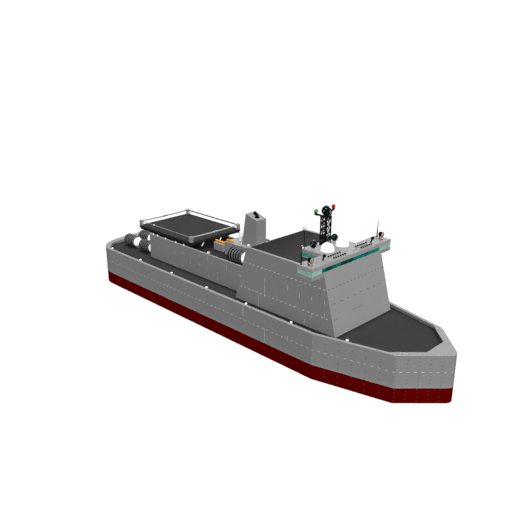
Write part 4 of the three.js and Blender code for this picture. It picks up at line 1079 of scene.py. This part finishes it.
# ------------------------------------------------------------------ searchlights
for s, k in (("port", 1), ("starboard", -1)):
    lx, ly, lz = X(-1.0), k * L(7.1), L(15.12)
    mb = MB()
    c = (lx, ly, lz)
    prof = [(0, -0.172), (0.05, -0.172), (0.075, -0.165), (0.1, -0.15), (0.125, -0.12), (0.152, -0.105), (0.16, -0.09)]
    x_ = -0.085
    while x_ < 0.03:
        prof += [(0.165, x_), (0.165, x_ + 0.008), (0.152, x_ + 0.012), (0.152, x_ + 0.018)]
        x_ += 0.022
    prof += [(0.158, 0.05), (0.158, 0.108), (0.166, 0.112), (0.166, 0.13), (0.15, 0.132), (0.145, 0.12)]
    mb.lathe(prof, "black", c, "x", 40)
    mb.lathe([(0.146, 0.118), (0.13, 0.124), (0.09, 0.132), (0.045, 0.137), (0, 0.139)], "tan", c, "x", 40)
    mb.torus((lx + 0.128, ly, lz), 0.152, 0.007, "steel", "x", 40, 8)
    for i in range(6):
        t = 2 * math.pi * i / 6
        mb.button((lx + 0.128, ly + 0.157 * math.cos(t), lz + 0.157 * math.sin(t)), (1, 0, 0), 0.008, 0.006, "steel", 6)
    for kk in (1, -1):
        mb.cyl((lx, ly + kk * 0.15, lz), (lx, ly + kk * 0.193, lz), 0.022, "steel", n=14)
        mb.cyl((lx, ly + kk * 0.15, lz), (lx, ly + kk * 0.172, lz), 0.045, "black", n=18)
    mb.make("searchlight_drum_" + s, "searchlight_" + s, "gear_black", replaces=("searchlight_" + s,), weld=False)
    mb = MB()
    z0 = RZ + 0.046
    mb.lathe([(0, 0.0), (0.094, 0.0), (0.098, 0.004), (0.098, 0.014), (0.07, 0.022), (0.05, 0.03), (0, 0.03)], "cap", (lx, ly, z0), n=32)
    for kk in (1, -1):
        pts = [(lx, ly, z0 + 0.028), (lx, ly + kk * 0.1, z0 + 0.03), (lx, ly + kk * 0.16, z0 + 0.045), (lx, ly + kk * 0.195, z0 + 0.085), (lx, ly + kk * 0.206, z0 + 0.14), (lx, ly + kk * 0.206, lz + 0.02)]
        mb.tube(pts, 0.024, "black", 10)
        mb.cyl((lx, ly + kk * 0.197, lz), (lx, ly + kk * 0.216, lz), 0.036, "black", n=20)
    mb.make("searchlight_fork_" + s, "searchlight_yoke_" + s, "gear_black", replaces=("searchlight_yoke_" + s,), weld=False)
    # ring of clamps round each seat on the roof
    mb = MB()
    mb.torus((lx, ly, RZ + 0.012), 0.15, 0.012, "black", n=36, m=8)
    for i in range(8):
        t = 2 * math.pi * i / 8
        mb.box(-0.02, 0.02, -0.012, 0.012, 0, 0.022, "black", 0.003, Matrix.Translation((lx + 0.15 * math.cos(t), ly + 0.15 * math.sin(t), RZ)) @ Matrix.Rotation(t, 4, "Z"))
    # bearing sight: ring base, bent post and head
    cx, cy = X(-0.95), k * L(4.85)
    mb.lathe([(0.055, 0), (0.125, 0), (0.129, 0.006), (0.125, 0.016), (0.06, 0.02)], "cap", (cx, cy, RZ), n=32)
    mb.lathe([(0, 0), (0.05, 0), (0.05, 0.012), (0.034, 0.03), (0, 0.03)], "black", (cx, cy, RZ), n=20)
    mb.tube([(cx, cy, RZ + 0.01), (cx, cy, RZ + 0.1), (cx + 0.03, cy, RZ + 0.18), (cx + 0.07, cy, RZ + 0.25), (cx + 0.09, cy, L(15.05))], 0.05, "black", 14, radii=[0.058, 0.05, 0.046, 0.05, 0.06])
    mb.box(cx + 0.01, cx + 0.18, cy - 0.08, cy + 0.08, L(14.98), L(15.31), "black", 0.02)
    mb.cyl((cx + 0.17, cy, L(15.14)), (cx + 0.20, cy, L(15.14)), 0.048, "black", n=20)
    mb.cyl((cx + 0.198, cy, L(15.14)), (cx + 0.202, cy, L(15.14)), 0.036, "screen", n=20)
    mb.box(cx + 0.06, cx + 0.14, cy - 0.02, cy + 0.02, L(15.28) - 0.006, L(15.28) + 0.022, "black", 0.006)
    mb.make("bearing_head_" + s, "hull", "gear_black", replaces=("bearing_sight_" + s,), weld=False)
    # roof ventilators: two rows of slanting black blades on a pale curb
    mb = MB()
    y0, y1 = (L(2.0), L(4.35)) if k > 0 else (-L(3.46), -L(1.05))
    mb.box(X(-1.56), X(-1.06), y0, y1, RZ, RZ + 0.010, "roof", 0.003)
    mb.box(X(-0.74), X(-0.34), y0 + 0.06, y1 + 0.0, RZ, RZ + 0.010, "roof", 0.003)
    cnt = 6
    for i in range(cnt):
        yy = y0 + 0.05 + (y1 - y0 - 0.12) * i / (cnt - 1)
        for xa, xb, dy in ((X(-1.42), X(-1.20), 0.0), (X(-0.66), X(-0.44), 0.04)):
            yc = min(yy + dy, y1 - 0.03)
            poly = [(yc - 0.032, RZ + 0.008), (yc + 0.032, RZ + 0.008), (yc + 0.036, RZ + 0.078), (yc - 0.012, RZ + 0.080)]
            mb.prism(poly, xa, xb, "blackmatt", "x")
    mb.make("roof_vent_blades_" + s, "hull", "plain_steel", replaces=("roof_vent_" + s,), weld=False)
    # whip antenna: insulator, stiff lower part and a thin upper one
    wx, wy = X(-1.95), k * L(7.6)
    mb = MB()
    prof = [(0, 0), (0.058, 0), (0.058, 0.012), (0.04, 0.02)]
    for i in range(4):
        z_ = 0.024 + i * 0.018
        prof += [(0.042, z_), (0.042, z_ + 0.006), (0.03, z_ + 0.010)]
    prof += [(0.026, 0.1), (0, 0.1)]
    mb.lathe(prof, "black", (wx, wy, RZ), n=20)
    mb.tube([(wx, wy, RZ + 0.09), (wx, wy, RZ + 0.36), (wx, wy, L(15.45))], 0.04, "black", 10, radii=[0.042, 0.04, 0.036])
    mb.tube([(wx, wy, L(15.45)), (wx + 0.02, wy, L(15.62)), (wx + 0.022, wy + 0.01, L(16.0)), (wx + 0.018, wy + 0.006, L(16.4)), (wx + 0.02, wy, L(16.78))], 0.014, "steel" if k > 0 else "black", 8, radii=[0.034, 0.028, 0.024, 0.020, 0.016])
    mb.ball((wx + 0.02, wy, L(16.76)), 0.018 if k > 0 else 0.03, "steel" if k > 0 else "white", 10, 8)
    mb.make("whip_rod_" + s, "hull", "gear_black", replaces=("whip_antenna_" + s,))

# direction-finding loop
mb = MB()
ax, ay = X(-5.55), -L(2.95)
mb.lathe([(0, 0), (0.062, 0), (0.062, 0.014), (0.035, 0.035), (0, 0.035)], "black", (ax, ay, RZ), n=20)
mb.tube([(ax, ay, RZ + 0.02), (ax, ay, L(16.9) + 0.0)], 0.02, "black", 12)
mb.torus((ax, ay, L(16.9) + 0.11), 0.105, 0.014, "pale", "y", 32, 8)
mb.torus((ax, ay, L(16.9) + 0.11), 0.099, 0.012, "pale", "x", 32, 8)
mb.lathe([(0, -0.03), (0.035, -0.03), (0.035, 0.02), (0, 0.02)], "pale", (ax, ay, L(16.9)), n=16)
mb.make("direction_loop", "hull", "gear_black", replaces=("loop_antenna",))

# ------------------------------------------------------------------ bridge windows
mb = MB()
zs, zh = L(13.46) + 0.002, L(14.0) - 0.002
e = 0.02


def pane(a, b, key, th=0.028, mull=None):
    """One run of glass between two plan points, with mullions between its panes."""
    a, b = Vector(a), Vector(b)
    d = (b - a).normalized()
    n_ = Vector((d.y, -d.x))  # outwards
    g0, g1 = n_ * -0.012, n_ * -(0.012 + th)
    vs = [(*(p + g), z) for z in (zs + 0.012, zh - 0.012) for p in (a, b) for g in (g0, g1)]
    fs = [[0, 2, 6, 4], [3, 1, 5, 7], [4, 6, 7, 5], [1, 3, 2, 0], [0, 4, 5, 1], [2, 3, 7, 6]]
    mb.add(vs, fs, key)
    if mull:
        cnt = max(1, round((b - a).length / mull))
        for i in range(cnt + 1):
            p = a.lerp(b, i / cnt)
            at = Matrix.Translation((p.x, p.y, 0)) @ Matrix.Rotation(math.atan2(d.y, d.x), 4, "Z")
            w = 0.012
            u0, u1 = (-w, w)
            if i == 0:
                u0 = 0.0
            if i == cnt:
                u1 = 0.0
            mb.box(u0, u1, 0.004, 0.044, zs, zh, "mull" if key == "glassf" else "mullpale", 0.0, at)
    for z0_, z1_ in ((zs, zs + 0.014), (zh - 0.014, zh)):
        vs = [(*(p + g), z) for z in (z0_, z1_) for p in (a, b) for g in (n_ * -0.004, n_ * -0.046)]
        mb.add(vs, fs, "mull" if key == "glassf" else "mullpale")


# painted light and shade: the frames copy the tones of the glass beside them, dark on the front run and pale on the
# others
M["mullpale"] = enamel("window_frame_lit_pale", (0.17, 0.36, 0.32), 0.4, 0.2, 0.05)
M["mull"] = enamel("window_frame_shaded_teal", (0.004, 0.045, 0.036), 0.4, 0.2, 0.05)
xf, xw, xa = X(0) - e, X(-2.35) + e, X(-5.8) + e
hb, hw, hh_ = L(7.95) - e, L(3.2) - e, L(5.8)
# front: the run over the house, then the see-through ends
DK0, DK1 = -L(6.05), L(5.45)
pane((xf, DK0), (xf, DK1), "glassf", mull=0.64)
for k in (1, -1):
    a, b = (xf, DK1 if k > 0 else DK0), (xf, k * hb)
    pane(*((a, b) if k > 0 else (b, a)), "glassw", mull=1.0)
    a, b = (xf, k * hb), (xw, k * hb)
    pane(*((a, b) if k > 0 else (b, a)), "glassw", mull=0.6)
    a, b = (xw, k * hb), (xw, k * hw)
    pane(*((a, b) if k > 0 else (b, a)), "glasst", mull=0.6)
    a, b = (xw, k * hw), (xa, k * hw)
    pane(*((a, b) if k > 0 else (b, a)), "glasst", mull=0.6)
pane((xa, hw), (xa, -hw), "glasst", mull=0.6)
mb.make("bridge_windows", "hull", "teal_glass", replaces=("bridge_glass",), weld=False)

# roof slab nosing and lines of fixings, drip edge
mb = MB()
tee_ = [(X(0), -L(7.95)), (X(0), L(7.95)), (X(-2.35), L(7.95)), (X(-2.35), L(3.2)), (X(-5.8), L(3.2)), (X(-5.8), -L(3.2)), (X(-2.35), -L(3.2)), (X(-2.35), -L(7.95))]
for z_, r_, key in ((L(14.46) - 0.006, 0.012, "roof"), (L(14.0) + 0.004, 0.010, "roof")):
    mb.tube([(x, y, z_) for x, y in tee_], r_, key, 8, closed=True)
for k in (1, -1):
    for st, y in [(-0.22, k * q) for q in (1.2, 2.6, 4.0, 5.4, 6.8, 7.7)] + [(-2.12, k * q) for q in (3.6, 5.0, 6.4, 7.7)] + [(-5.6, k * q) for q in (0.8, 2.0, 3.0)]:
        mb.button((X(st), L(y), RZ - 0.001), (0, 0, 1), 0.018, 0.008, "roof", 8)
# small white lamp at the starboard after corner of the wheelhouse roof
mb.ball((X(-5.62), -L(3.02) - 0.02, RZ + 0.045), 0.045, "white", 16, 10)
mb.lathe([(0, 0), (0.04, 0), (0.04, 0.01), (0, 0.01)], "pale", (X(-5.62), -L(3.02) - 0.02, RZ), n=16)
# grab loops at the after edge of each wing
for k in (1, -1):
    mb.tube([(X(-2.2), k * L(7.0), RZ), (X(-2.2), k * L(7.0), RZ + 0.05), (X(-2.2), k * L(7.4), RZ + 0.05), (X(-2.2), k * L(7.4), RZ)], 0.009, "pale", 8)
mb.make("bridge_roof_trim", "hull", "roof_grey", weld=False)

# bridge wing trays: nosing under the windows
mb = MB()
for k in (1, -1):
    pts = [(X(0) - 0.004, k * L(5.85)), (X(0) - 0.004, k * (L(7.95) - 0.004)), (X(-2.35) + 0.004, k * (L(7.95) - 0.004)), (X(-2.35) + 0.004, k * L(5.85))]
    for z_ in (L(12.98) + 0.006, L(13.46) - 0.006):
        mb.tube([(x, y, z_) for x, y in pts], 0.010, "wing", 8)
    # brackets under the wing, against the house side
    for st in (-0.5, -1.85):
        mb.prism([(k * L(5.8), L(12.98)), (k * L(6.9), L(12.98)), (k * L(5.8), L(12.35))], X(st) - 0.012, X(st) + 0.012, "wing", "x")
mb.make("bridge_wing_trim", "hull", "hull_grey", weld=False)

# inside the wheelhouse: console tops, wheel, screens
mb = MB()
cxm = X(-1.1)
for y in [-1.5, -0.9, -0.3, 0.3, 0.9, 1.5]:
    at = Matrix.Translation((X(-0.86), y, L(12.56))) @ Matrix.Rotation(math.radians(-10), 4, "Y")
    mb.box(-0.10, 0.10, -0.2, 0.2, 0.0, 0.03, "blackmatt", 0.006, at)
    mb.box(-0.085, 0.085, -0.17, 0.17, 0.028, 0.034, "screen", 0.002, at)
mb.torus((X(-1.62), 0, L(12.1)), 0.16, 0.014, "black", "x", 32, 8)
for i in range(3):
    t = i * 2 * math.pi / 3
    mb.tube([(X(-1.62), 0, L(12.1)), (X(-1.62), 0.155 * math.sin(t), L(12.1) + 0.155 * math.cos(t))], 0.009, "black", 8)
mb.cyl((X(-1.62), 0, L(12.1)), (X(-1.5), 0, L(12.1)), 0.03, "black", n=14)
mb.make("console_fittings", "hull", "gear_black", weld=False)

# ------------------------------------------------------------------ casing, funnel, exhaust
mb = MB()
cz = L(11.4)
# funnel corner beads, top ring, panel ticks
f0, f1, fh_, ft = X(-19.0), X(-16.05), L(0.95), L(15.70)
fa_, ff_ = L(16.08), L(15.42)


def fun_x(z):
    return X(-19.0 + (-18.2 + 19.0) * (z - 11.4) / (16.08 - 11.4))


for k in (1, -1):
    mb.tube([(f1 - 0.006, k * (fh_ - 0.006), cz + 0.01), (f1 - 0.006, k * (fh_ - 0.006), ff_ - 0.006)], 0.012, "house", 8)
    mb.tube([(fun_x(11.4) + 0.006, k * (fh_ - 0.006), cz + 0.01), (X(-18.2) + 0.006, k * (fh_ - 0.006), fa_ - 0.006)], 0.012, "house", 8)
    # angle bar at the foot
    mb.box(f0 - 0.02, f1 + 0.02, k * fh_ - 0.012 + (0 if k > 0 else 0), k * fh_ + 0.012, cz, cz + 0.03, "house", 0.003)
loop_ = [(f1 - 0.004, -fh_ + 0.004), (f1 - 0.004, fh_ - 0.004), (X(-18.2) + 0.004, fh_ - 0.004), (X(-18.2) + 0.004, -fh_ + 0.004)]
mb.tube([(x, y, (ff_ if x > X(-17.0) else fa_) - 0.004) for x, y in loop_], 0.012, "cap", 8, closed=True)
vseam(f1, 0.0, L(13.28), L(13.4), (1, 0, 0), 0.03, "dash")
for y in (-0.3, 0.32):
    mb.button((f1 + 0.0, y, L(12.6)), (1, 0, 0), 0.016, 0.006, "dash", 6)
# collar round the exhaust and its rain lip
ex, ey = X(-16.75), -0.06
mb.lathe([(0.118, 0.0), (0.19, 0.0), (0.196, 0.01), (0.19, 0.03), (0.14, 0.045), (0.118, 0.045)], "black", (ex, ey, ft - 0.012), n=32)
mb.make("funnel_trim", "hull", "hull_grey", weld=False)

mb = MB()
pts = [(ex, ey, ft - 0.18), (ex, ey, ft), (ex, ey, L(15.80)), (ex - 0.008, ey, L(15.88)), (ex - 0.03, ey, L(15.97)), (ex - 0.08, ey, L(16.05)), (ex - 0.14, ey, L(16.13)), (ex - 0.20, ey, L(16.20)), (ex - 0.275, ey, L(16.27))]
mb.tube(pts, 0.122, "black", 24)
for p, q in ((pts[3], 0.128),):
    mb.torus(p, q - 0.004, 0.010, "black", "z", 28, 8)
mb.torus(pts[-1], 0.001, 0.001, "black", "z", 6, 4)
d_ = (Vector(pts[-1]) - Vector(pts[-2])).normalized()
mb.cyl(Vector(pts[-1]) - d_ * 0.012, Vector(pts[-1]) + d_ * 0.004, 0.130, "black", n=24)
mb.cyl(Vector(pts[-1]) + d_ * 0.0035, Vector(pts[-1]) + d_ * 0.0055, 0.088, "rubber", n=24)
mb.make("exhaust_bend", "hull", "gear_black", replaces=("exhaust_pipe",), weld=False)

# casing: corner beads, top edge, access plate, a stack of hoops behind the funnel
mb = MB()
c0, ch_ = X(-21.7), L(1.85)
for k in (1, -1):
    mb.tube([(c0 + 0.006, k * (ch_ - 0.006), L(9.5)), (c0 + 0.006, k * (ch_ - 0.006), cz - 0.006), (X(aft_x(11.4) - 0.1), k * (ch_ - 0.006), cz - 0.006)], 0.012, "house", 8)
mb.tube([(c0 + 0.006, -ch_ + 0.006, cz - 0.006), (c0 + 0.006, ch_ - 0.006, cz - 0.006)], 0.012, "house", 8)
hx = X(-20.35)
for i, (dz, r_) in enumerate(((0.06, 0.085), (0.19, 0.09), (0.32, 0.085), (0.45, 0.08))):
    mb.torus((hx + 0.02 * (i % 2), 0.01 * i, cz + dz + 0.04), r_, 0.016, "white", "y", 26, 8)
mb.tube([(hx - 0.1, 0, cz), (hx - 0.1, 0, cz + 0.62)], 0.016, "pale", 10)
mb.tube([(hx + 0.1, 0, cz), (hx + 0.1, 0, cz + 0.62)], 0.016, "pale", 10)
for i in range(5):
    mb.tube([(hx - 0.1, 0, cz + 0.08 + i * 0.12), (hx + 0.1, 0, cz + 0.08 + i * 0.12)], 0.010, "pale", 8)
mb.box(X(-21.5), X(-20.85), L(0.2), L(1.3), cz + 0.0005, cz + 0.014, "house", 0.004)
for a in (-21.4, -20.95):
    for b_ in (0.3, 1.2):
        mb.button((X(a), L(b_), cz + 0.014), (0, 0, 1), 0.014, 0.010, "house", 6)
mb.make("casing_trim", "hull", "hull_grey", weld=False)

# ------------------------------------------------------------------ locker, floats, pump
mb = MB()
lx0, lx1, ly0, ly1, lzt = X(-24.5), X(-22.45), -L(1.55), -L(0.75), L(10.62)
M["locker"] = paint("locker_grey", (0.245, 0.242, 0.252), 0.5, spread=0.04, streaks=0.0)
mb.box(lx0, lx1, ly0, ly1, L(9.46) + 0.0004, lzt - 0.034, "locker", 0.012)
mb.box(lx0 - 0.008, lx1 + 0.008, ly0 - 0.008, ly1 + 0.008, lzt - 0.032, lzt, "locker", 0.010)
for x_ in (lx0 + 0.2, lx1 - 0.2):
    mb.box(x_ - 0.02, x_ + 0.02, ly0 - 0.018, ly0 + 0.004, lzt - 0.12, lzt - 0.035, "steel", 0.004)
    mb.box(x_ - 0.03, x_ + 0.03, ly1 - 0.004, ly1 + 0.016, lzt - 0.08, lzt - 0.01, "steel", 0.004)
mb.tube([(lx0 + 0.5, ly0 - 0.002, lzt - 0.22), (lx0 + 0.5, ly0 - 0.03, lzt - 0.22), (lx0 + 0.68, ly0 - 0.03, lzt - 0.22), (lx0 + 0.68, ly0 - 0.002, lzt - 0.22)], 0.008, "steel", 8)
for i in range(1, 4):
    x_ = lx0 + (lx1 - lx0) * i / 4
    mb.box(x_ - 0.012, x_ + 0.012, ly0 - 0.006, ly0 + 0.002, L(9.46) + 0.02, lzt - 0.05, "locker", 0.002)
mb.make("deck_locker_body", "hull", "hull_grey", replaces=("deck_locker",), weld=False)


def float_roll(name, node, x0, x1, y, z, r):
    """A lashed orange float: fat lobes pulled in by bands."""
    b = MB()
    lobes = 4
    prof = [(0, 0.0)]
    ln = x1 - x0
    steps = 44
    for i in range(1, steps):
        t = i / steps
        u = t * lobes
        endr = math.sqrt(max(0.0, 1 - abs(2 * t - 1) ** 7))
        bulge = 0.80 + 0.20 * abs(math.sin(math.pi * u)) ** 0.55
        prof.append((r * endr * bulge, ln * t))
    prof.append((0, ln))
    b.lathe(prof, "orange", (x0, y, z), "x", 28)
    for i in range(1, lobes):
        b.torus((x0 + ln * i / lobes, y, z), r * 0.80, 0.010, "band", "x", 28, 6)
    for i in (0.5, lobes - 0.5):
        b.box(x0 + ln * i / lobes - 0.02, x0 + ln * i / lobes + 0.02, y - r * 0.9, y + r * 0.9, z - r + 0.001, z - r * 0.55, "band", 0.004)
    b.make(name, "hull", "float_orange", replaces=(node,), weld=False)


float_roll("locker_float_roll", "locker_float", X(-24.5), X(-22.3), -L(1.2), L(10.62) + 0.0984, 0.098)
float_roll("casing_float_roll", "casing_float", X(-21.65), X(-20.3), -L(1.45), L(11.4) + 0.0904, 0.090)

mb = MB()
mb.box(X(-27.6), X(-26.6), L(1.55), L(2.6), L(9.46) + 0.0004, L(9.85), "navy", 0.02)
mb.lathe([(0, -0.24), (0.07, -0.24), (0.115, -0.225), (0.125, -0.20), (0.125, -0.07), (0.132, -0.065), (0.132, -0.03), (0.125, -0.025), (0.125, 0.18), (0.115, 0.215), (0.06, 0.24), (0, 0.24)], "navy", (X(-27.1), L(2.07), L(9.85)), "x", 32)
for i in range(10):
    t = math.pi * (i + 0.5) / 10
    p = Vector((X(-27.1) + 0.05, L(2.07) + 0.126 * math.cos(t), L(9.85) + 0.126 * math.sin(t)))
    mb.box(-0.075, 0.075, -0.004, 0.004, -0.004, 0.012, "navy", 0.0, Matrix.Translation(p) @ Matrix.Rotation(t - math.pi / 2, 4, "X"))
mb.make("deck_pump_body", "hull", "cover_navy", replaces=("deck_pump",), weld=False)

# ------------------------------------------------------------------ after door
mb = MB()
dx = X(-37.3) - 0.058
y0, y1, z0, z1 = L(-0.80) + 0.012, L(0.82), L(5.98), L(9.22)
mb.box(dx - 0.006, dx + 0.001, y0 + 0.05, y1 - 0.05, z0 + 0.06, z1 - 0.06, "house", 0.005)
for z_ in (z0 + 0.35, z0 + 0.81, z0 + 1.27):
    mb.box(dx - 0.014, dx + 0.001, y0 + 0.09, y1 - 0.09, z_ - 0.02, z_ + 0.02, "house", 0.005)
for z_ in (z0 + 0.2, z0 + 0.81, z1 - 0.2):
    mb.cyl((dx - 0.03, y1 - 0.05, z_), (dx + 0.002, y1 - 0.05, z_), 0.016, "steel", n=14)
    mb.tube([(dx - 0.026, y1 - 0.05, z_), (dx - 0.03, y1 - 0.1, z_ + 0.03), (dx - 0.03, y1 - 0.17, z_ + 0.08)], 0.010, "steel", 8)
cyd = (y0 + y1) / 2
mb.torus((dx - 0.045, cyd, z0 + 1.05), 0.11, 0.011, "steel", "x", 32, 8)
for i in range(3):
    t = i * 2 * math.pi / 3 + 0.4
    mb.tube([(dx - 0.045, cyd, z0 + 1.05), (dx - 0.045, cyd + 0.108 * math.cos(t), z0 + 1.05 + 0.108 * math.sin(t))], 0.008, "steel", 8)
mb.cyl((dx - 0.055, cyd, z0 + 1.05), (dx + 0.002, cyd, z0 + 1.05), 0.02, "steel", n=14)
mb.torus((dx - 0.008, cyd, z1 - 0.3), 0.1, 0.012, "house", "x", 32, 8)
mb.cyl((dx - 0.010, cyd, z1 - 0.3), (dx - 0.002, cyd, z1 - 0.3), 0.092, "glasst", n=28)
mb.make("aft_door_furniture", "aft_door", "hull_grey", weld=False)
mb = MB()
# frame round the doorway
for a, b_, c_, d_ in ((-0.72 - 0.09, -0.72, 6.02, 9.18), (0.72, 0.72 + 0.09, 6.02, 9.18)):
    mb.box(X(-37.3) - 0.006, X(-37.3) + 0.002, L(a), L(b_), L(c_), L(d_), "house", 0.002)
mb.box(X(-37.3) - 0.006, X(-37.3) + 0.002, L(-0.81), L(0.81), L(9.1), L(9.19), "house", 0.002)
# rungs up the after end of the house
for i in range(6):
    z_ = L(6.2) + i * 0.3
    mb.tube([(X(-37.3), L(2.6), z_), (X(-37.3) - 0.09, L(2.6), z_), (X(-37.3) - 0.09, L(3.3), z_), (X(-37.3), L(3.3), z_)], 0.011, "cap", 8)
mb.make("aft_house_end_fittings", "hull", "hull_grey", weld=False)

# ------------------------------------------------------------------ propellers, shafts and rudders
for s, k in (("port", 1), ("starboard", -1)):
    c = Vector((X(-44.4), k * L(3.1), 0.52))
    mb = MB()
    prof = [(0, -0.125), (0.03, -0.122), (0.055, -0.112), (0.072, -0.09), (0.083, -0.05), (0.086, 0.0), (0.086, 0.06), (0.08, 0.09), (0.06, 0.108), (0.045, 0.112)]
    mb.lathe(prof, "bronze", c, "x", 32)
    mb.cyl(c + Vector((0.1, 0, 0)), (X(-42.2) - 0.002, c.y, c.z), 0.045, "steel", n=24)
    blades, nr, nc = 4, 12, 10
    for q in range(blades):
        grid = {}
        for side_ in (0, 1):
            for i in range(nr + 1):
                t = i / nr
                rad = 0.075 + 0.31 * t
                chord = 0.25 * (math.sin(math.pi * (0.16 + 0.80 * t)) ** 0.75) * (1.0 if t < 0.93 else 0.8)
                pitch = k * math.radians(62 - 34 * t)
                for j in range(nc + 1):
                    u = j / nc * 2 - 1
                    thick = (0.017 * (1 - 0.75 * t)) * (1 - u * u) ** 0.5 * (1 if side_ == 0 else -1)
                    cpos = u * chord / 2
                    skew = 0.25 * t * t
                    lx_ = math.cos(pitch) * thick - math.sin(pitch) * cpos * 0.72
                    ang = (math.cos(pitch) * cpos + math.sin(pitch) * thick) / rad * 0.72 - skew * k
                    th = q * 2 * math.pi / blades + ang
                    grid[(side_, i, j)] = c + Vector((lx_ * 0.9, rad * math.sin(th), rad * math.cos(th)))
        vs, idx = [], {}
        for key_, p in grid.items():
            idx[key_] = len(vs)
            vs.append(p)
        fs = []
        for i in range(nr):
            for j in range(nc):
                f_ = [idx[(0, i, j)], idx[(0, i, j + 1)], idx[(0, i + 1, j + 1)], idx[(0, i + 1, j)]]
                g_ = [idx[(1, i, j)], idx[(1, i + 1, j)], idx[(1, i + 1, j + 1)], idx[(1, i, j + 1)]]
                fs += [f_, g_]
        for j in range(nc):
            fs.append([idx[(0, nr, j)], idx[(0, nr, j + 1)], idx[(1, nr, j + 1)], idx[(1, nr, j)]])
        mb.add(vs, fs, "bronze", True)
    ob = mb.make("propeller_wheel_" + s, "propeller_" + s, "bronze", replaces=("propeller_" + s,), weld=True)
    rx, ry = X(-46.2), k * L(3.1)
    mb = MB()
    poly = []
    for i in range(25):
        t = 2 * math.pi * i / 24
        u = (1 + math.cos(t)) / 2
        xx = 0.18 - 0.54 * (1 - u)
        th = 0.044 * math.sqrt(max(0, math.sin(math.pi * min(1, (1 - u) ** 0.62)))) * (1 if math.sin(t) >= 0 else -1)
        if i < 24:
            poly.append((rx + xx, ry + th))
    mb.prism(poly, 0.112, 0.848, "red")
    for z_ in (0.112, 0.35, 0.6, 0.842):
        mb.prism([(rx + (a - rx) * 1.004, ry + (b_ - ry) * 1.08) for a, b_ in poly], z_, z_ + 0.006, "red")
    mb.lathe([(0, 0.845), (0.075, 0.845), (0.075, 0.865), (0.04, 0.875), (0.036, 0.947), (0, 0.947)], "steel", (rx, ry, 0), n=24)
    mb.make("rudder_blade_" + s, "rudder_" + s, "bottom_red", replaces=("rudder_" + s,), weld=False)

# ------------------------------------------------------------------ floor, light
fl = bpy.data.meshes.new("floor")
R_ = 400.0
fl.from_pydata([(-R_, -R_, 0), (R_, -R_, 0), (R_, R_, 0), (-R_, R_, 0)], [], [(0, 1, 2, 3)])
floor = bpy.data.objects.new("floor", fl)
bpy.context.scene.collection.objects.link(floor)
floor.location.z = -0.002
ring_v, ring_f, seg_ = [], [], 48
for i in range(seg_):
    t = 2 * math.pi * i / seg_
    for z_ in (-1.0, 260.0):
        ring_v.append((390 * math.cos(t), 390 * math.sin(t), z_))
for i in range(seg_):
    j = (i + 1) % seg_
    ring_f.append((2 * i, 2 * i + 1, 2 * j + 1, 2 * j))
rm = bpy.data.meshes.new("backdrop")
rm.from_pydata(ring_v, [], ring_f)
backdrop = bpy.data.objects.new("backdrop", rm)
bpy.context.scene.collection.objects.link(backdrop)
w = Net("floor_white")
em = w.n("ShaderNodeEmission")
em.inputs["Color"].default_value = (1, 1, 1, 1)
em.inputs["Strength"].default_value = 1.06
w.link(em.outputs[0], w.out.inputs[0])
for o_ in (floor, backdrop):
    o_.data.materials.append(w.m)
    o_.visible_diffuse = False
    o_.visible_glossy = False
    o_.visible_shadow = False

world = bpy.data.worlds.new("studio_white")
bpy.context.scene.world = world
world.use_nodes = True
bg = world.node_tree.nodes.get("Background") or world.node_tree.nodes.new("ShaderNodeBackground")
bg.inputs["Color"].default_value = (1, 1, 1, 1)
bg.inputs["Strength"].default_value = 0.25


def sun_lamp(name, towards, energy, soft):
    d = bpy.data.lights.new(name, "SUN")
    d.energy = energy
    d.angle = math.radians(soft)
    d.use_shadow = False
    o = bpy.data.objects.new(name, d)
    bpy.context.scene.collection.objects.link(o)
    o.rotation_euler = Vector(towards).normalized().to_track_quat("Z", "Y").to_euler()


sun_lamp("key_sun", (0.694, -0.486, 1.46), 5.31, 8)
sun_lamp("fill_sun", (-0.35, 0.45, 0.0), 1.8, 30)

bpy.context.scene.view_settings.view_transform = "Standard"
bpy.context.scene.view_settings.look = "None"
bpy.context.scene.view_settings.exposure = 0.0
bpy.context.scene.view_settings.gamma = 1.0
